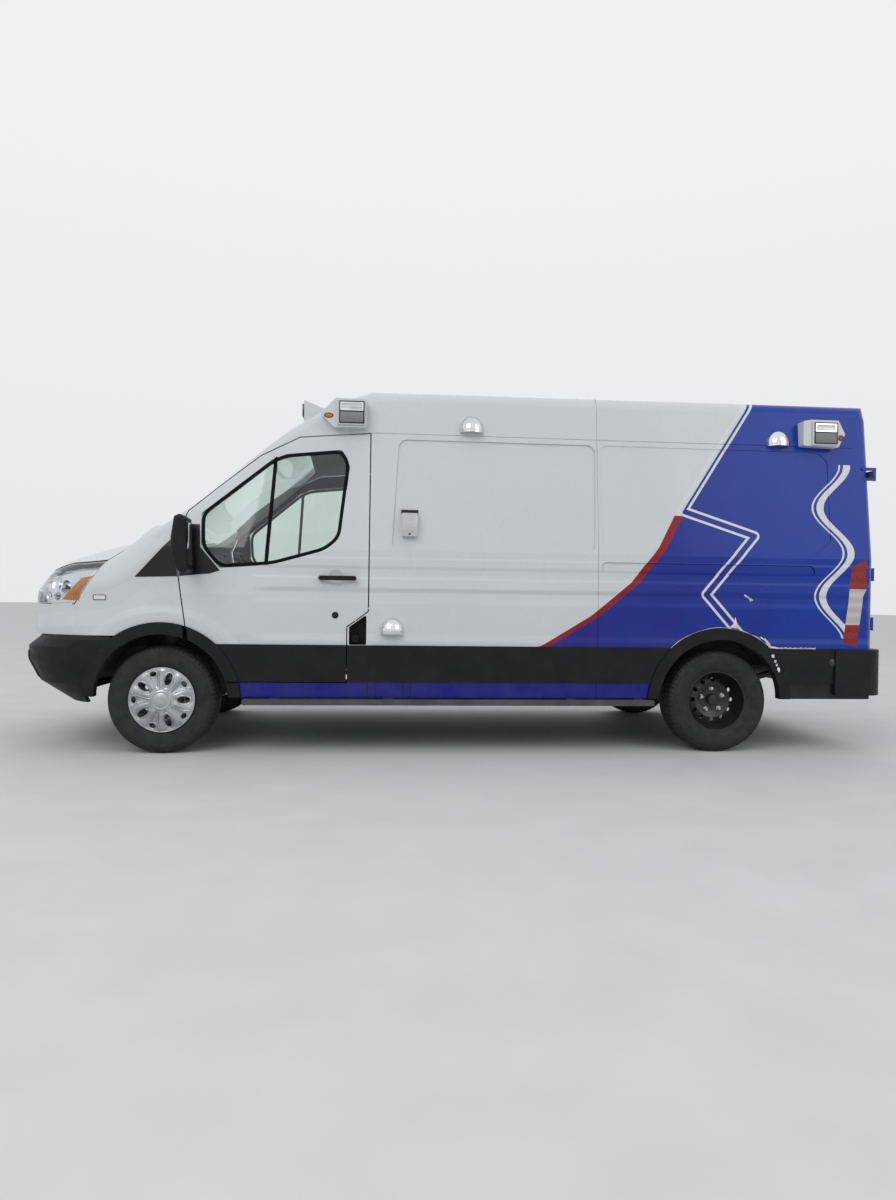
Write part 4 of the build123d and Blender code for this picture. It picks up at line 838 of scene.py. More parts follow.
def joined(pieces):
    deselectAll()
    for piece in pieces:
        piece.select_set(True)
    bpy.context.view_layer.objects.active = pieces[0]
    bpy.ops.object.join()
    return bpy.context.object


def turned(piece, angle, axis, centre):
    # turns a piece's mesh about an axis through a point
    turn = Matrix.Translation(centre) @ Matrix.Rotation(angle, 4, axis) @ Matrix.Translation(-Vector(centre))
    piece.data.transform(turn)
    return piece


# Tyres: grooves round the tread, and ridges on the sidewalls
tyreShape = {
    "half": ((0.2063, 0.089), (0.222, 0.1005), (0.232, 0.104), (0.240, 0.1085), (0.247, 0.1085), (0.2485, 0.1105),
             (0.282, 0.1172), (0.312, 0.1142), (0.314, 0.1115), (0.330, 0.1065), (0.3425, 0.096), (0.3478, 0.084),
             (0.3495, 0.064), (0.3425, 0.062), (0.3425, 0.054), (0.3500, 0.052), (0.3515, 0.023), (0.3440, 0.021),
             (0.3440, 0.012), (0.3518, 0.010)),
    "segments": 112,
    "blocks": 66,
    "treadStart": (0.329, 0.335),
    "midway": 2900,
}


def makeTyreRubber():
    material, shader = newMaterial("tyreRubber")
    x, y, z = position(material)
    rear = calc(material, "GREATER_THAN", x, along(tyreShape["midway"]))
    frontX, rearX = along(van["frontAxle"]), along(van["rearAxle"])
    axle = calc(material, "MULTIPLY_ADD", rear, rearX - frontX, frontX)
    dx, dz, radius = fromAxle(material, x, z, axle)
    angle = calc(material, "ARCTAN2", dz, dx)
    lean = times(material, minus(material, calc(material, "ABSOLUTE", y), van["trackHalf"]), 9)
    wave = calc(material, "SINE", plus(material, times(material, angle, tyreShape["blocks"]), lean))
    cuts = ramp(material, wave, 0.55, 0.8)
    tread = ramp(material, radius, *tyreShape["treadStart"])
    height = minus(material, 1.0, times(material, cuts, tread))
    dark = blendColor(material, ramp(material, noise(material, 12.0, 5.0), 0.3, 0.7), (0.007, 0.007, 0.0075),
                      (0.015, 0.0148, 0.0146))
    # painted shade: the bottoms of the tread grooves are painted darker than the rubber round them
    grooveShade = times(material, cuts, tread)
    color = blendColor(material, grooveShade, dark, (0.003, 0.003, 0.003))
    dusty = times(material, tread, ramp(material, noise(material, 40.0, 4.0), 0.4, 0.7, 0.0, 0.12))
    plug(material, shader.inputs["Base Color"], blendColor(material, dusty, color, (0.09, 0.085, 0.08)))
    plug(material, shader.inputs["Roughness"], ramp(material, noise(material, 25.0, 4.0), 0.3, 0.7, 0.6, 0.82))
    under = bumpFrom(material, shader, height, 0.006, 0.9)
    bumpFrom(material, shader, noise(material, 300.0, 2.0), 0.0003, 0.5, under)
    return material


look["tyreRubber"] = makeTyreRubber()


def makeTyres():
    half = tyreShape["half"]
    rings = [(radius, -offset) for radius, offset in half] + [(radius, offset) for radius, offset in reversed(half)]
    rings += [rings[0]]
    centre = (along(van["frontAxle"]), -van["trackHalf"], van["hubHeight"])
    front = lathe(centre, rings, tyreShape["segments"], closed=True)
    front = dress(front, "tyreFrontLeft", "tyreRubber", "road_wheel_front_left", "tyre", 32)
    wheelbase = (van["rearAxle"] - van["frontAxle"]) / 1000
    rear = moved(front, "tyreRearLeft", (wheelbase, 0, 0), "road_wheel_rear_left")
    frontRight = mirrorPiece(front, "tyreFrontRight", "road_wheel_front_right")
    rearRight = mirrorPiece(rear, "tyreRearRight", "road_wheel_rear_right")
    for tyre, node in ((front, "tyre_front_left"), (rear, "tyre_rear_left"), (frontRight, "tyre_front_right"),
                       (rearRight, "tyre_rear_right")):
        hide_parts(node)


makeTyres()
print("tyres made")

# Wheel covers at the front, hub cap and nuts at the rear
wheelTrim = {
    "coverFace": ((0.060, 0.1225), (0.120, 0.1145), (0.212, 0.1065)),
    "count": 5,
    "opening": {"radius": 0.1385, "half": 0.049, "wide": 0.0285, "taper": 0.004, "lift": 0.0002, "points": 28},
    "hole": {"radius": 0.1755, "half": 0.0205, "wide": 0.0265, "taper": 0.0, "lift": 0.0, "points": 20},
    "spoke": {"start": 0.066, "length": 0.137, "angle": 0.10, "sweep": 0.17, "lift": 0.0004},
    "rimBar": 0.0056,
    "rimRadius": 0.2095,
    "capPlace": 0.1215,
    "capRings": ((0.064, 0.0), (0.064, -0.006), (0.0585, -0.009), (0.050, -0.0072), (0.047, -0.0072),
                 (0.043, -0.0095), (0.022, -0.0115), (0.0, -0.012)),
    "hubRings": ((0.0385, -0.006), (0.0385, -0.027), (0.034, -0.034), (0.020, -0.037), (0.0, -0.0375)),
    "nuts": 5,
    "nutCircle": 0.080,
    "nutRadius": 0.0135,
}


def coverFace(radius):
    face = wheelTrim["coverFace"]
    for (r1, y1), (r2, y2) in zip(face, face[1:]):
        if radius <= r2:
            return y1 + (y2 - y1) * max(0.0, radius - r1) / (r2 - r1)
    return face[-1][1]


def onCover(radius, angle, lift=0.0):
    return (along(van["frontAxle"]) + radius * math.cos(angle), -van["trackHalf"] - coverFace(radius) - lift,
            van["hubHeight"] + radius * math.sin(angle))


def coverRing(spec, middle):
    # the rim of one opening in the cover
    ring = []
    for step in range(spec["points"]):
        t = 2 * math.pi * step / spec["points"]
        radius = spec["radius"] + spec["half"] * math.cos(t)
        across = (spec["wide"] + spec["taper"] * math.cos(t)) * math.sin(t)
        ring.append(onCover(radius, middle + across / radius, spec["lift"]))
    return ring


def makeWheelCover():
    bars = []
    count, bar, spec = wheelTrim["count"], wheelTrim["rimBar"], wheelTrim["spoke"]
    for index in range(count):
        middle = 2 * math.pi * index / count
        between = middle + math.pi / count
        bars.append(tube(coverRing(wheelTrim["opening"], middle), bar, closed=True, sides=2))
        bars.append(tube(coverRing(wheelTrim["hole"], between), bar * 0.8, closed=True, sides=2))
        for side in (-1, 1):
            spoke = []
            for step in range(9):
                share = step / 8
                angle = between + side * (spec["angle"] + spec["sweep"] * share * share)
                spoke.append(onCover(spec["start"] + spec["length"] * share, angle, spec["lift"]))
            bars.append(tube(spoke, bar * 0.9, sides=2))
    rim = [onCover(wheelTrim["rimRadius"], 2 * math.pi * step / 72, -0.0015) for step in range(72)]
    bars.append(tube(rim, 0.0036, closed=True, sides=2))
    pair(joined(bars), "coverRidges", "silverCover", "road_wheel_front_left", "silver_paint", 60)
    centre = (along(van["frontAxle"]), -van["trackHalf"] - wheelTrim["capPlace"], van["hubHeight"])
    cap = lathe(centre, wheelTrim["capRings"], 48)
    pair(cap, "coverCap", "silverCover", "road_wheel_front_left", "silver_paint")


def makeRearHub():
    x, z = along(van["rearAxle"]), van["hubHeight"]
    cap = lathe((x, -van["trackHalf"], z), wheelTrim["hubRings"], 40)
    pair(cap, "rearHubCap", "wheelBlack", "road_wheel_rear_left", "black_paint")
    nuts = []
    for index in range(wheelTrim["nuts"]):
        angle = 2 * math.pi * (index + 0.3) / wheelTrim["nuts"]
        centre = (x + wheelTrim["nutCircle"] * math.cos(angle), -van["trackHalf"],
                  z + wheelTrim["nutCircle"] * math.sin(angle))
        size = wheelTrim["nutRadius"]
        rings = ((size * 1.25, -0.004), (size * 1.25, -0.008), (size, -0.009), (size, -0.022), (size * 0.8, -0.0245),
                 (size * 0.5, -0.0245), (size * 0.5, -0.030), (0.0, -0.031))
        nuts.append(lathe(centre, rings, 6))
    pair(joined(nuts), "wheelNuts", "stainless", "road_wheel_rear_left", "steel", 30)


makeWheelCover()
makeRearHub()
print("wheel covers and hubs made")

# Door windows: rubber bands, the divider and the black corner pieces behind the mirror
windowTrim = {
    "opening": ((1270, 1354), (1387, 1216), (1727, 1244), (2071, 1343), (2165, 1428), (2221, 1932), (2168, 2022),
                (1800, 1982), (1709, 1942), (1262, 1575)),
    "band": 24,
    "divider": ((1721, 1948), (1746, 1958), (1698, 1244), (1673, 1241)),
    "wingCorner": ((857, 1150), (1123, 1158), (1096, 1408), (1088, 1412), (868, 1166)),
    "doorCorners": (((1136, 1160), (1330, 1180), (1392, 1201), (1268, 1348), (1114, 1348)),
                    ((1112, 1346), (1266, 1346), (1257, 1500), (1200, 1500), (1108, 1410))),
}


def makeDoorTrim():
    opening = rounded(windowTrim["opening"], 60, 6)
    outer = grown(opening, -1.5)
    band = ringPatch(outer, grown(opening, -windowTrim["band"]), onGlass, 0.0045, 0.004)
    divider = patch(windowTrim["divider"], onGlass, 0.004, 0.0035, 60)
    pair(joined([band, divider]), "windowRubber", "rubber", "front_door_left", "black_plastic")
    corners = [patch(outline, onSide, 0.0025, 0.006, 30) for outline in windowTrim["doorCorners"]]
    pair(joined(corners), "doorCorner", "trimBlack", "front_door_left", "black_plastic")
    wing = patch(windowTrim["wingCorner"], onSide, 0.0025, 0.006, 30)
    pair(wing, "wingCorner", "trimBlack", "van_body", "black_plastic")


doorLock = {
    "place": (2139, 919),
    "rings": ((0.022, 0.002), (0.022, -0.0025), (0.0195, -0.0045), (0.016, -0.0045), (0.0155, -0.003),
              (0.011, -0.003), (0.0105, -0.0055), (0.0, -0.006)),
}


def makeDoorLock():
    spot = onSide(*doorLock["place"])
    lock = lathe(spot, doorLock["rings"], 36)
    x, y, z = spot
    slot = block((x - 0.0012, y - 0.0066, z - 0.0055), (x + 0.0012, y - 0.005, z + 0.0055), 0.0004, 1)
    pair(joined([lock, slot]), "doorLock", "trimBlack", "front_door_left", "black_plastic", 30)


# Mirrors: the glass in its rim, at the back of each housing
mirror = {
    "low": (-1.216, 1.222),
    "high": (-1.090, 1.502),
    "rim": 0.006,
    "lean": -2.69,
    "behind": (along(1700), -1.16, 1.36),
}


def makeMirrors():
    tree = skinTree(("door_trim_left",))
    back = tree.ray_cast(Vector(mirror["behind"]), Vector((-1, 0, 0)))[0]
    (farY, lowZ), (nearY, highZ), rimWidth = mirror["low"], mirror["high"], mirror["rim"]
    rim = block((back.x - 0.004, farY, lowZ), (back.x + 0.0012, nearY, highZ))
    recess(rim, lambda middle, normal: normal.x > 0.9, rimWidth, (-0.002, 0, 0))
    turned(rim, math.radians(mirror["lean"]), "Y", back)
    pair(rim, "mirrorRim", "trimBlack", "front_door_left", "black_plastic")
    glass = block((back.x - 0.0015, farY + rimWidth, lowZ + rimWidth),
                  (back.x + 0.0003, nearY - rimWidth, highZ - rimWidth), 0.0006, 1)
    turned(glass, math.radians(mirror["lean"]), "Y", back)
    pair(glass, "mirrorGlass", "mirrorFace", "front_door_left", "chrome")


# Headlamps: a main bowl, a smaller one and the amber turn lens, all behind the clear cover
headlamp = {
    "amber": ((592, 1156), (505, 1138), (372, 996), (490, 992)),
    "amberLift": -0.0075,
    "bowls": ((330, 1095, 46, 54), (262, 1020, 30, 30)),
    "bowlSteps": ((1.0, -0.008), (0.93, -0.009), (0.72, -0.020), (0.42, -0.027), (0.40, -0.020), (0.30, -0.017)),
}


def makeHeadlamps():
    shell = skinTree(("headlamps",))

    def inLamp(station, height, lift=0.0):
        return onSide(station, height, lift, shell)

    inwards[inLamp] = (0, 1, 0)
    amber = patch(headlamp["amber"], inLamp, headlamp["amberLift"], 0.006, 20)
    pair(amber, "turnLens", "amberLens", "van_body", "clear_lens")
    bowls = []
    for station, height, wide, tall in headlamp["bowls"]:
        rings = []
        for share, lift in headlamp["bowlSteps"]:
            rings.append((oval(station, height, wide * share, tall * share, 36), lift))
        bowls.append(dish(rings, inLamp, 0.0015))
    pair(joined(bowls), "lampBowls", "chrome", "van_body", "chrome", 40)


# Roof corner lamps: black frames, a chrome reflector over a ribbed lens, and a marker at the point
cornerLamp = {
    "front": {"left": 2146, "right": 2312, "low": 2186, "high": 2333, "split": 2266, "marker": (2078, 2237),
              "markerSize": (30, 16), "markerColor": "amberLens", "markerSlot": "clear_lens"},
    "rear": {"left": 5426, "right": 5594, "low": 2152, "high": 2301, "split": 2232, "marker": (5628, 2199),
             "markerSize": (20, 20), "markerColor": "redLens", "markerSlot": "red_lens"},
    "frame": 7,
    "face": 1.0,
    "proud": 0.0055,
}


def makeCornerLamp(name, spec):
    left, right, low, high = along(spec["left"]), along(spec["right"]), spec["low"] / 1000, spec["high"] / 1000
    split, face = spec["split"] / 1000, -cornerLamp["face"]
    front = face - cornerLamp["proud"]
    width = cornerLamp["frame"] / 1000
    bars = [block((left, front, high - width), (right, face + 0.004, high), 0.0015, 2),
            block((left, front, low), (right, face + 0.004, low + width), 0.0015, 2),
            block((left, front, split - width / 2), (right, face + 0.004, split + width / 2), 0.0015, 2),
            block((left, front, low + width * 0.7), (left + width, face + 0.004, high - width * 0.7), 0.0015, 2),
            block((right - width, front, low + width * 0.7), (right, face + 0.004, high - width * 0.7), 0.0015, 2)]
    pair(joined(bars), name + "LampFrame", "trimBlack", "van_body", "black_plastic")
    # the upper reflector is a rim sloping in to a ribbed back
    upper = block((left + width, face - 0.0045, split + width / 2), (right - width, face + 0.003, high - width))
    recess(upper, lambda middle, normal: normal.y < -0.9, 0.010, (0, 0.0055, 0), (0.94, 1, 0.86),
           ((left + right) / 2, face, (split + high) / 2))
    ribs = [block((left + 0.022, face - 0.0035, split + 0.014 + 0.0068 * step),
                  (right - 0.022, face + 0.001, split + 0.0178 + 0.0068 * step), 0.0012, 2) for step in range(3)]
    pair(joined([upper] + ribs), name + "Reflector", "chrome", "van_body", "chrome", 20)
    # the lower lens has vertical ribs
    count = 24
    step = (right - left - 2 * width) / count
    lower = [block((left + width + step * index, face - 0.0038, low + width),
                   (left + width + step * (index + 1) - 0.0007, face + 0.002, split - width / 2), 0.0014, 2)
             for index in range(count)]
    pair(joined(lower), name + "RibbedLens", "greyLens", "van_body", "clear_lens", 30)
    # the marker at the pod's point
    station, height = spec["marker"]
    wide, tall = spec["markerSize"]
    podSkin = skinTree(("corner_pods",))

    def onPod(u, v, lift=0.0):
        return onSide(u, v, lift, podSkin)

    inwards[onPod] = (0, 1, 0)
    inner = oval(station, height, wide - 6, tall - 5, 32)
    ring = ringPatch(oval(station, height, wide, tall, 32), inner, onPod, 0.004, 0.008)
    pair(ring, name + "MarkerRim", "trimBlack", "van_body", "black_plastic")
    lens = patch(inner, onPod, 0.003, 0.006, 8)
    pair(lens, name + "Marker", spec["markerColor"], "van_body", spec["markerSlot"])


# Wipers: a rubber blade in its spine, the arm that presses on it, and the cap over the pivot
wiper = {
    "starts": (-620, 220),
    "reach": 520,
    "stations": (875, 925),
    "depth": 0.026,
    "bladeRadius": 0.0036,
    "armRadius": 0.0055,
    "capRadius": 0.013,
    "jointRadius": 0.007,
}


def makeWipers():
    tree = skinTree(("wipers",))

    def onScreen(share, start, lift):
        first, last = wiper["stations"]
        x, y = along(first + (last - first) * share), (start + wiper["reach"] * share) / 1000
        spot, normal = tree.ray_cast(Vector((x, y, 3.0)), Vector((0, 0, -1)))[:2]
        return spot + normal * (lift - wiper["depth"])

    made = []
    for start in wiper["starts"]:
        made.append(tube([onScreen(0.02 + 0.96 * k / 14, start, 0.006) for k in range(15)], wiper["bladeRadius"]))
        made.append(tube([onScreen(0.06 + 0.88 * k / 14, start, 0.012) for k in range(15)], wiper["bladeRadius"] * 0.8))
        made.append(tube([onScreen(0.02 + 0.5 * k / 8, start, 0.0145 + 0.004 * math.sin(math.pi * k / 8))
                          for k in range(9)], wiper["armRadius"]))
        made.append(tube([onScreen(0.02, start, 0.001), onScreen(0.02, start, 0.021)], wiper["capRadius"], sides=4))
        made.append(tube([onScreen(0.49, start, 0.004), onScreen(0.55, start, 0.016)], wiper["jointRadius"]))
    made = dress(joined(made), "wiperPair", "trimBlack", "van_body", "black_plastic", 40)
    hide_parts("wipers")


# The light bar on the fairing: a dark housing with a clear cover and reflectors behind it
lightBar = {
    "half": 0.592,
    "low": 2.314,
    "high": 2.395,
    "modules": 6,
}


def makeLightBar():
    low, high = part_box("warning_bar")
    front = low[0]
    frame = []
    half, bottom, top = lightBar["half"], lightBar["low"], lightBar["high"]
    frame.append(block((front + 0.001, -half, top - 0.006), (front + 0.014, half, top), 0.002, 2))
    frame.append(block((front + 0.001, -half, bottom), (front + 0.014, half, bottom + 0.006), 0.002, 2))
    for step in range(lightBar["modules"] + 1):
        y = -half + 2 * half * step / lightBar["modules"]
        y = max(-half + 0.003, min(half - 0.003, y))
        frame.append(block((front + 0.001, y - 0.003, bottom), (front + 0.014, y + 0.003, top), 0.0015, 2))
    frame = dress(joined(frame), "lightBarFrame", "trimBlack", "van_body", "black_plastic")
    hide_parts("warning_bar")
    reflectors = []
    for step in range(lightBar["modules"]):
        a = -half + 2 * half * step / lightBar["modules"] + 0.006
        b = -half + 2 * half * (step + 1) / lightBar["modules"] - 0.006
        module = block((front + 0.007, a, bottom + 0.006), (front + 0.0165, b, top - 0.006))
        recess(module, lambda middle, normal: normal.x < -0.9, 0.004, (0.006, 0, 0), (1, 0.92, 0.7),
               (front, (a + b) / 2, (bottom + top) / 2))
        reflectors.append(module)
        for k in range(4):
            y = a + (b - a) * (k + 1) / 5
            reflectors.append(block((front + 0.0085, y - 0.009, (bottom + top) / 2 - 0.009),
                                    (front + 0.013, y + 0.009, (bottom + top) / 2 + 0.009), 0.003, 2))
    dress(joined(reflectors), "lightBarReflectors", "chrome", "van_body", "chrome", 25)
    cover = block((front, -half - 0.006, bottom - 0.003), (front + 0.0175, half + 0.006, top + 0.0035), 0.003, 3)
    onlyThis(cover)
    bpy.ops.object.mode_set(mode="EDIT")
    pickFaces(cover, lambda middle, normal: normal.x > 0.9)
    bpy.ops.mesh.delete(type="FACE")
    bpy.ops.object.mode_set(mode="OBJECT")
    shell = cover.modifiers.new("wall", "SOLIDIFY")
    shell.thickness = 0.0012
    shell.offset = -1
    applyModifiers(cover)
    dress(cover, "lightBarCover", "clearLens", "van_body", "clear_lens")


# Dome lamps: a seam up the side of each dome
dome = {
    "feet": ((2513, 797), (3035, 2162), (5203, 2138)),
    "start": 0.012,
    "rise": 0.1015,
}


def makeDomeSeams():
    seams = []
    for station, foot in dome["feet"]:
        x, z = along(station), foot / 1000
        tree = skinTree(("dome_lamps",))
        line = []
        for step in range(12):
            height = z + dome["start"] + dome["rise"] * step / 11
            hit = tree.ray_cast(Vector((x, -1.3, height)), Vector((0, 1, 0)))[0]
            if hit:
                line.append(Vector((x, hit.y - 0.0004, height)))
        if len(line) > 3:
            seams.append(tube(line, 0.0012, sides=1))
    pair(joined(seams), "domeSeams", "chrome", "van_body", "chrome", 60)


# Power inlet: a black hinge bar over the steel flap, and its screw
inlet = {
    "bar": ((2565, 1601), (2677, 1601), (2677, 1626), (2565, 1626)),
    "screw": (2621, 1462),
}


def makeInlet():
    bar = patch(rounded(inlet["bar"], 8, 3), onSide, 0.011, 0.016, 20)
    dress(bar, "inletHingeBar", "trimBlack", "van_body", "black_plastic")
    spot = onSide(*inlet["screw"], 0, skinTree(("inlet_cover",)))
    screw = lathe(spot, ((0.007, 0.001), (0.007, -0.0015), (0.0055, -0.003), (0.002, -0.0033), (0.0018, -0.002),
                         (0.0, -0.002)), 20)
    dress(screw, "inletScrew", "trimBlack", "van_body", "black_plastic")


makeDoorTrim()
makeDoorLock()
makeMirrors()
makeHeadlamps()
for name in ("front", "rear"):
    makeCornerLamp(name, cornerLamp[name])
makeWipers()
makeLightBar()
makeDomeSeams()
makeInlet()
print("window rubber, mirrors and lamps made")

# Wing badges are bare: a rounded chrome plate in a dark rim, with nothing written on it
wingBadge = {
    "centre": (632, 1015),
    "size": (43, 17),
    "rim": 4,
}


def makeWingBadge():
    (station, height), (wide, tall), rim = wingBadge["centre"], wingBadge["size"], wingBadge["rim"]
    left, right, low, high = station - wide, station + wide, height - tall, height + tall
    outline = rounded(((left, low), (right, low), (right, high), (left, high)), 14, 5)
    ring = ringPatch(outline, grown(outline, -rim), onSide, 0.004, 0.006)
    pair(ring, "wingBadgeRim", "trimBlack", "van_body", "black_plastic")
    plate = patch(grown(outline, -rim * 0.9), onSide, 0.0025, 0.0045, 12)
    pair(plate, "wingBadge", "chrome", "van_body", "chrome")


# Front bumper: the black pads at its corners
bumperTrim = {
    "pad": ((-800, 478), (-560, 478), (-560, 652), (-800, 652)),
}


def makeBumperTrim():
    pad = patch(rounded(bumperTrim["pad"], 22, 4), onNose, 0.008, 0.014, 30)
    pair(pad, "bumperPad", "blackPlastic", "van_body", "black_plastic")


makeWingBadge()
makeBumperTrim()
print("badge plates and bumper pads made")

# Seats and bench: padded pieces grown from rounded blocks by a short cloth run
seating = {
    "voxel": 0.010,
    "pressure": 4,
    "frames": 20,
    "cap": 0.012,
    "seatCentre": -0.410,
    "base": ((1655, 905), (2150, 890), (2150, 1012), (1655, 1030)),
    "back": ((2120, 1012), (2205, 1008), (2318, 1590), (2238, 1606)),
    "head": ((2252, 1640), (2332, 1640), (2340, 1780), (2276, 1780)),
    "halfWidths": {"base": 0.240, "back": 0.232, "head": 0.115},
    "floorTop": 0.7208,
    "stand": {"front": 1705, "rear": 2112, "half": 0.178, "top": 0.893, "waist": (1908, 0.81)},
    "posts": ((2276, 1.57), (2292, 1.66)),
    "postSpread": 0.055,
    "postRadius": 0.007,
    "benchPads": 3,
}


def puff(piece, cap):
    # inflates a closed block a little, as stuffing does, and smooths it
    onlyThis(piece)
    bpy.ops.object.transform_apply(location=True, rotation=True, scale=True)
    remesh = piece.modifiers.new("even", "REMESH")
    remesh.mode = "VOXEL"
    remesh.voxel_size = seating["voxel"]
    applyModifiers(piece)
    rest = [vertex.co.copy() for vertex in piece.data.vertices]
    scene = bpy.context.scene
    scene.frame_set(1)
    cloth = piece.modifiers.new("stuffing", "CLOTH")
    cloth.settings.use_pressure = True
    cloth.settings.uniform_pressure_force = seating["pressure"]
    cloth.settings.quality = 4
    cloth.settings.effector_weights.gravity = 0
    cloth.collision_settings.use_collision = False
    for frameNumber in range(1, seating["frames"] + 1):
        scene.frame_set(frameNumber)
    applyModifiers(piece)
    scene.frame_set(1)
    for vertex, start in zip(piece.data.vertices, rest):
        move = vertex.co - start
        if move.length > cap:
            vertex.co = start + move.normalized() * cap
    relax = piece.modifiers.new("relax", "SMOOTH")
    relax.factor = 0.6
    relax.iterations = 6
    finer = piece.modifiers.new("finer", "SUBSURF")
    finer.levels = finer.render_levels = 1
    applyModifiers(piece)
    return piece


def cushion(outline, low, high, bevel):
    # a rounded block with a side outline, between two distances from the centre line
    piece = sidePlate(outline, low, high - low)
    onlyThis(piece)
    bpy.ops.object.mode_set(mode="EDIT")
    bpy.ops.mesh.select_all(action="SELECT")
    bpy.ops.mesh.bevel(offset=bevel, segments=4, affect="EDGES", clamp_overlap=True)
    bpy.ops.object.mode_set(mode="OBJECT")
    return piece


def makeSeats():
    centre, widths = seating["seatCentre"], seating["halfWidths"]
    made = []
    for part, bevel in (("base", 0.042), ("back", 0.036), ("head", 0.030)):
        pad = cushion(seating[part], centre - widths[part], centre + widths[part], bevel)
        pad = puff(pad, seating["cap"])
        # side bolsters rise a little beside the middle of the seat and the back
        if part != "head":
            for vertex in pad.data.vertices:
                share = abs(vertex.co.y - centre) / widths[part]
                if part == "base" and vertex.co.z > 0.97:
                    vertex.co.z += 0.012 * (max(0.0, share - 0.45) ** 0.5 - 0.55)
                if part == "back" and vertex.co.x < along(2180) + (vertex.co.z - 1.0) * 0.19:
                    vertex.co.x -= 0.014 * (max(0.0, share - 0.45) ** 0.5 - 0.55)
        pad = dress(pad, "seat" + part.capitalize() + "Left", "seatCloth", "van_body", "seat_fabric", 60)
        made.append(pad)
    posts = [tube([(along(station), centre + side * seating["postSpread"], z) for station, z in seating["posts"]],
                  seating["postRadius"]) for side in (-1, 1)]
    posts = dress(joined(posts), "headrestPostsLeft", "chrome", "van_body", "chrome")
    spec = seating["stand"]
    stand = block((along(spec["front"]), centre - spec["half"], seating["floorTop"]),
                  (along(spec["rear"]), centre + spec["half"], spec["top"]), 0.012, 3)
    recess(stand, lambda middle, normal: abs(normal.y) > 0.95, 0.03, (0, 0, 0), (0.96, 1, 0.9),
           (along(spec["waist"][0]), centre, spec["waist"][1]))
    stand = dress(stand, "seatStandLeft", "trimBlack", "van_body", "black_plastic")
    copies = [mirrorPiece(pad, pad.name.replace("Left", "Right"), "van_body") for pad in made]
    mirrorPiece(posts, "headrestPostsRight", "van_body")
    mirrorPiece(stand, "seatStandRight", "van_body")
    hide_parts("seats")


def makeBench():
    low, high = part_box("bench")
    front, rear, outside = low[0] + 0.004, high[0] - 0.004, high[1]
    inner = low[1]
    base = block((front, inner + 0.02, seating["floorTop"]), (rear, outside - 0.055, 1.045), 0.006, 2)
    recess(base, lambda middle, normal: normal.y < -0.95, 0.035, (0, 0.006, 0))
    base = dress(base, "benchBase", "cabinetBoard", "van_body", "cabinet_board")
    count = seating["benchPads"]
    length = (rear - front) / count
    for index in range(count):
        a, b = front + length * index + 0.004, front + length * (index + 1) - 0.004
        pad = block((a, inner + 0.002, 1.048), (b, outside - 0.075, high[2] - 0.014), 0.026, 4)
        pad = puff(pad, 0.012)
        dress(pad, "benchPad" + "ABC"[index], "benchVinyl", "van_body", "vinyl", 60)
    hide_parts("bench")


makeSeats()
makeBench()
print("seats and bench made")

# Rear wing: the vinyl is torn along the flare, with scratches beside it and chips in the flare
torn = {
    "archRadius": 511,
    "arch": (24, 138),
    "spike": (((4818, 868), (4845, 880), (4862, 905), (4866, 935)),
              ((4900, 858), (4885, 885), (4876, 912), (4868, 937))),
    "shards": (
        ((5030, 812), (5062, 800), (5092, 772), (5056, 790), (5028, 818)),
        ((5058, 770), (5095, 758), (5120, 738), (5086, 742), (5060, 752)),
        ((5080, 800), (5112, 768), (5128, 742), (5100, 752), (5078, 782)),
        ((5112, 745), (5150, 738), (5182, 730), (5146, 726), (5114, 730)),
    ),
    "dents": (((4930, 1085), (4985, 1052), (4990, 1060), (4936, 1094)),
              ((4951, 1078), (4972, 1046), (4978, 1052), (4958, 1082))),
    "marks": ((5140, 672, 24, 13, -52), (5158, 636, 22, 9, -55), (5170, 612, 20, 8, -60), (5184, 580, 34, 13, -72)),
    "strip": (5150, 5452, 10),
}


def strip(lower, upper, place, lift, depth):
    # a band between two lines with as many points, laid on the skin
    deselectAll()
    count = len(lower)
    bpy.ops.mesh.primitive_grid_add(x_subdivisions=count - 1, y_subdivisions=1, size=1)
    piece = bpy.context.object
    for vertex in piece.data.vertices:
        index = round((vertex.co.x + 0.5) * (count - 1))
        u, v = lower[index] if vertex.co.y < 0 else upper[index]
        vertex.co = place(u, v, lift)
    return thicken(piece, place, depth)


def ruffle(piece, amount, seed):
    # small folds in torn vinyl or metal, the same each run
    for vertex in piece.data.vertices:
        where = (vertex.co.x * 61 + seed, vertex.co.z * 57, seed)
        vertex.co.y -= amount * (0.5 + 0.5 * math.sin(where[0]) * math.cos(where[1]))
    return piece


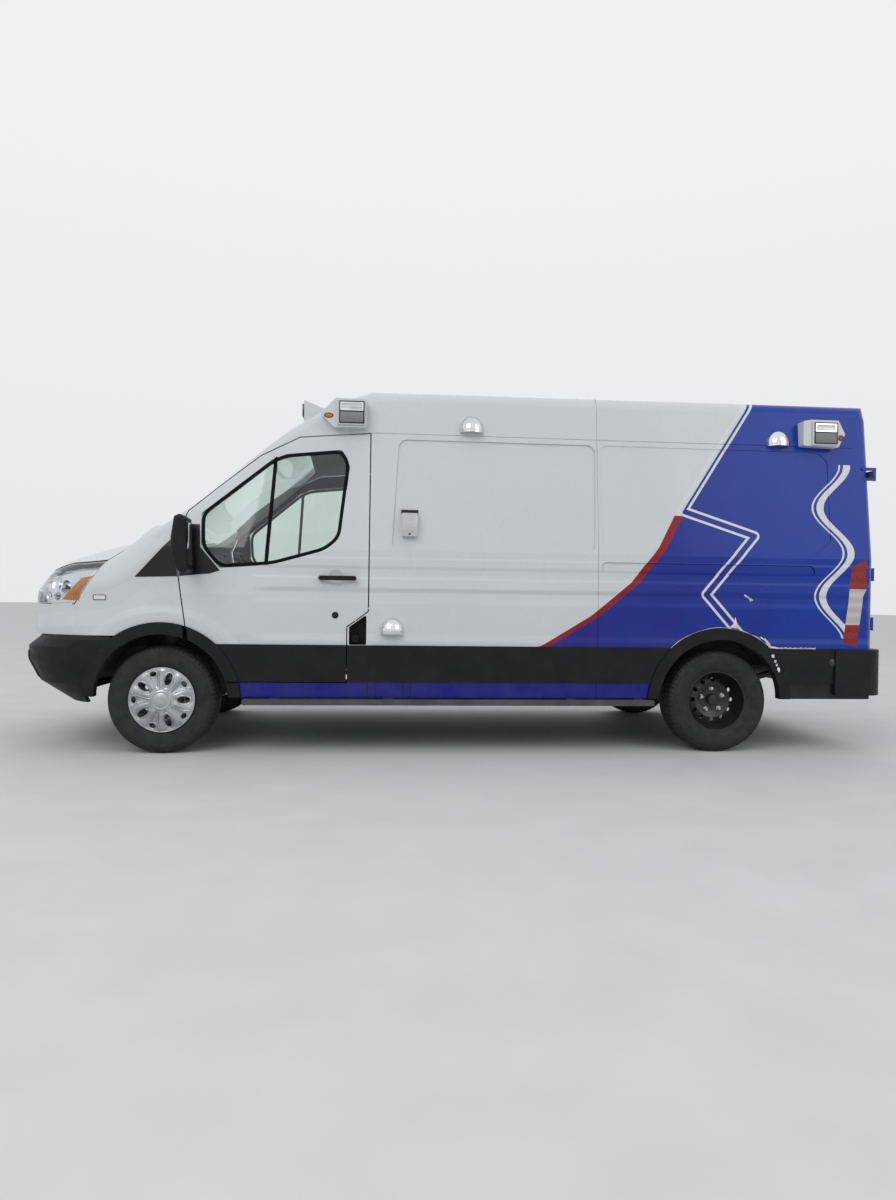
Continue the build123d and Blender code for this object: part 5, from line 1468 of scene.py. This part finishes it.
def makeTornVinyl():
    axle, hub, radius = van["rearAxle"], van["hubHeight"] * 1000, torn["archRadius"]
    first, last = torn["arch"]
    lower, upper = [], []
    for step in range(61):
        share = step / 60
        angle = math.radians(first + (last - first) * share)
        width = 3.0 + 2.6 * math.sin(share * 23) + (3.2 * math.sin(share * 61 + 1) if share < 0.45 else 0)
        width = max(1.6, width)
        lower.append((axle + radius * math.cos(angle), hub + radius * math.sin(angle)))
        upper.append((axle + (radius + width) * math.cos(angle), hub + (radius + width) * math.sin(angle)))
    pale = [strip(lower, upper, onSide, 0.0022, 0.004)]
    pale.append(strip(torn["spike"][0], torn["spike"][1], onSide, 0.0022, 0.004))
    start, end, steps = torn["strip"]
    low = [(start + (end - start) * k / (steps * 3), 722 + 1.5 * math.sin(k * 1.7)) for k in range(steps * 3 + 1)]
    high = [(u, v + 6 + 4.5 * abs(math.sin(k * 0.9)) + 3 * math.sin(k * 2.3)) for k, (u, v) in enumerate(low)]
    pale.append(strip(low, high, onSide, 0.003, 0.005))
    for seed, outline in enumerate(torn["shards"]):
        shard = patch(outline, onSide, 0.004, 0.003, 7)
        pale.append(ruffle(shard, 0.006, seed + 1.0))
    dress(joined(pale), "tornVinyl", "tornVinyl", "van_body", "white_paint", 20)
    dents = [patch(outline, onSide, 0.0012, 0.002, 8) for outline in torn["dents"]]
    dress(joined(dents), "scratchMarks", "tornVinyl", "van_body", "white_paint", 30)
    marks = []
    for station, height, length, width, lean in torn["marks"]:
        a = math.radians(lean)
        ux, uz, wx, wz = math.cos(a), math.sin(a), -math.sin(a), math.cos(a)
        corners = [(station + sx * length / 2 * ux + sz * width / 2 * wx,
                    height + sx * length / 2 * uz + sz * width / 2 * wz)
                   for sx, sz in ((-1, -0.6), (0.3, -1), (1, -0.2), (0.5, 0.9), (-0.7, 1))]
        marks.append(ruffle(patch(corners, onCladding, 0.002, 0.004, 5), 0.003, station))
    dress(joined(marks), "flareChips", "tornVinyl", "van_body", "white_paint", 20)


# Rear corner: the small round reflector on the side of the bumper
rearCorner = {
    "lamp": (5575, 628),
    "lampRings": ((0.027, 0.002), (0.027, -0.004), (0.023, -0.006), (0.021, -0.004), (0.016, -0.007), (0.0, -0.009)),
}


def makeRearCorner():
    spot = onCladding(*rearCorner["lamp"])
    lamp = lathe(spot, rearCorner["lampRings"], 32)
    pair(lamp, "sideReflector", "smokedLens", "van_body", "black_plastic", 30)


# Rear doors: window rubber, the pull handle with its plate, a lock, the bare number plate under its lamp, the high
# brake lamp and the seal where the doors meet
rearTrim = {
    "opening": ((-150, 1400), (-760, 1400), (-705, 2000), (-150, 2000)),
    "corner": 95,
    "band": 22,
    "handle": ((-250, 1120), (-60, 1120), (-60, 1172), (-250, 1172)),
    "grip": (-238, 164, 1146),
    "gripRadius": 0.0085,
    "lock": (-105, 1096),
    "plate": ((-605, 880), (-300, 880), (-300, 1032), (-605, 1032)),
    "plateLamp": ((-590, 1044), (-315, 1044), (-330, 1078), (-575, 1078)),
    "highLamp": ((-170, 2418), (170, 2418), (160, 2446), (-160, 2446)),
    "sealHeights": (760, 2330),
    "sealRadius": 0.0032,
}


def makeRearPlate():
    plate = patch(rounded(rearTrim["plate"], 12, 4), onTail, 0.003, 0.005, 25)
    dress(plate, "bareNumberPlate", "aluminium", "back_door_left", "aluminium")
    lamp = patch(rounded(rearTrim["plateLamp"], 10, 4), onTail, 0.014, 0.016, 25)
    dress(lamp, "plateLampHousing", "trimBlack", "back_door_left", "black_plastic")
    brake = patch(rounded(rearTrim["highLamp"], 10, 4), onTail, 0.005, 0.007, 25)
    dress(brake, "highBrakeLamp", "redLens", "van_body", "red_lens")
    low, high = rearTrim["sealHeights"]
    seal = []
    for step in range(25):
        spot = onTail(-20, low + (high - low) * step / 24, -0.014)
        seal.append((spot.x, 0, spot.z))
    dress(tube(seal, rearTrim["sealRadius"]), "rearDoorSeal", "rubber", "back_door_left", "black_plastic")


def makeRearTrim():
    opening = rounded(rearTrim["opening"], rearTrim["corner"], 7)
    band = ringPatch(grown(opening, -1.5), grown(opening, -rearTrim["band"]), onTailGlass, 0.0045, 0.004)
    pair(band, "rearWindowRubber", "rubber", "back_door_left", "black_plastic")
    plate = patch(rounded(rearTrim["handle"], 16, 4), onTail, 0.003, 0.006, 25)
    start, length, height = rearTrim["grip"]
    grip = [onTail(start + length * k / 12, height, 0.004 + 0.011 * math.sin(math.pi * k / 12) ** 0.5)
            for k in range(13)]
    grip = tube(grip, rearTrim["gripRadius"])
    dress(joined([plate, grip]), "rearHandle", "trimBlack", "back_door_left", "black_plastic")
    spot = onTail(*rearTrim["lock"])
    lock = lathe((0, 0, 0), ((0.015, 0.002), (0.015, -0.003), (0.011, -0.004), (0.0, -0.004)), 28)
    turned(lock, math.radians(90), "Z", Vector((0, 0, 0)))
    lock.data.transform(Matrix.Translation(spot))
    dress(lock, "rearLock", "trimBlack", "back_door_left", "black_plastic", 30)


makeTornVinyl()
makeRearCorner()
makeRearTrim()
makeRearPlate()
print("torn vinyl and rear trim made")

# Inner faces of the doors, walls and roof take the lining
lining = {
    "door_left": (lambda face: face.normal.y > 0.4, "greyPlastic"),
    "door_right": (lambda face: face.normal.y < -0.4, "greyPlastic"),
    "side_left": (lambda face: face.normal.y > 0.4, "cabinetBoard"),
    "side_right": (lambda face: face.normal.y < -0.4, "cabinetBoard"),
    "sliding_door": (lambda face: face.normal.y < -0.4, "cabinetBoard"),
    "roof": (lambda face: face.normal.z < -0.4, "cabinetBoard"),
    "rear_door_left": (lambda face: face.normal.x < -0.4, "greyPlastic"),
    "rear_door_right": (lambda face: face.normal.x < -0.4, "greyPlastic"),
    "tail_lamps": (lambda face: face.normal.y * face.center.y < -0.2, "cabinetBoard"),
}


def lineInside():
    for name, (faces, finish) in lining.items():
        mesh = nodes[name].data
        mesh.materials.append(look[finish])
        for polygon in mesh.polygons:
            if faces(polygon):
                polygon.material_index = 1


lineInside()
print("inner faces lined")

# Stage: pale floor, soft light, and the camera of the photograph
studio = {
    "floorColor": (0.62, 0.62, 0.61),
    "skyStrength": 0.95,
    "horizon": (0.30, 0.31, 0.32),
    "zenith": (0.96, 0.98, 1.0),
    "backdrop": ((0.80, 0.81, 0.82), (0.86, 0.875, 0.89)),
    "keyPower": 260,
    "fillPower": 90,
    "cameraPlace": (along(2422.96), -6.21805, 1.06962),
    "yaw": 0.0881,
    "pitch": -0.0078,
    "roll": 0.0146,
    "lens": 23.52,
}


def makeFloor():
    deselectAll()
    bpy.ops.mesh.primitive_circle_add(vertices=96, radius=60, fill_type="TRIFAN", location=(0, 0, 0))
    floor = bpy.context.object
    floor.name = "studioFloor"
    material, shader = newMaterial("studioFloor")
    speck = ramp(material, noise(material, 3.0, 6.0), 0.3, 0.7)
    low = tuple(c * 0.94 for c in studio["floorColor"])
    plug(material, shader.inputs["Base Color"], blendColor(material, speck, low, studio["floorColor"]))
    shader.inputs["Roughness"].default_value = 0.8
    floor.data.materials.append(material)


def makeSky():
    world = bpy.data.worlds.new("studioSky")
    bpy.context.scene.world = world
    world.use_nodes = True
    background = world.node_tree.nodes["Background"]
    rays = addNode(world, "LightPath").outputs
    mirrored = calc(world, "MAXIMUM", rays["Is Glossy Ray"], rays["Is Transmission Ray"])
    seen = calc(world, "MAXIMUM", rays["Is Camera Ray"], mirrored)
    where = addNode(world, "TexCoord").outputs["Generated"]
    height = addNode(world, "SeparateXYZ", {"Vector": where}).outputs[2]
    light = blendColor(world, ramp(world, height, -0.05, 0.8), studio["horizon"], studio["zenith"])
    shown = blendColor(world, ramp(world, height, 0.0, 0.5), *studio["backdrop"])
    plug(world, background.inputs["Color"], blendColor(world, seen, light, shown))
    plug(world, background.inputs["Strength"], ramp(world, seen, 0, 1, studio["skyStrength"], 1.0))


def makeLamp(name, place, target, size, power):
    lampData = bpy.data.lights.new(name, "AREA")
    lampData.size = size
    lampData.energy = power
    lamp = bpy.data.objects.new(name, lampData)
    bpy.context.scene.collection.objects.link(lamp)
    lamp.location = place
    lamp.rotation_euler = (Vector(target) - Vector(place)).to_track_quat("-Z", "Y").to_euler()


def makeCamera():
    yaw, pitch, roll = studio["yaw"], studio["pitch"], studio["roll"]
    forward = Vector((math.sin(yaw) * math.cos(pitch), math.cos(yaw) * math.cos(pitch), math.sin(pitch)))
    right = Vector((math.cos(yaw), -math.sin(yaw), 0))
    up = right.cross(forward)
    tiltedRight = math.cos(roll) * right + math.sin(roll) * up
    tiltedUp = -math.sin(roll) * right + math.cos(roll) * up
    cameraData = bpy.data.cameras.new("photoCamera")
    cameraData.lens = studio["lens"]
    cameraData.sensor_width = 36
    cameraData.clip_end = 200
    camera = bpy.data.objects.new("photoCamera", cameraData)
    bpy.context.scene.collection.objects.link(camera)
    turn = Matrix((tiltedRight, tiltedUp, -forward)).transposed().to_4x4()
    camera.matrix_world = Matrix.Translation(studio["cameraPlace"]) @ turn
    bpy.context.scene.camera = camera


makeFloor()
makeSky()
makeLamp("keyLamp", (-5, -8, 7), (0, 0, 1), 6, studio["keyPower"])
makeLamp("fillLamp", (6, -6, 5), (1, 0, 1), 5, studio["fillPower"])
makeLamp("backLamp", (2, 9, 6), (0, 0, 1.2), 6, studio["fillPower"])
makeCamera()
bpy.context.scene.view_settings.view_transform = "Standard"
print("stage, lamps and camera set")
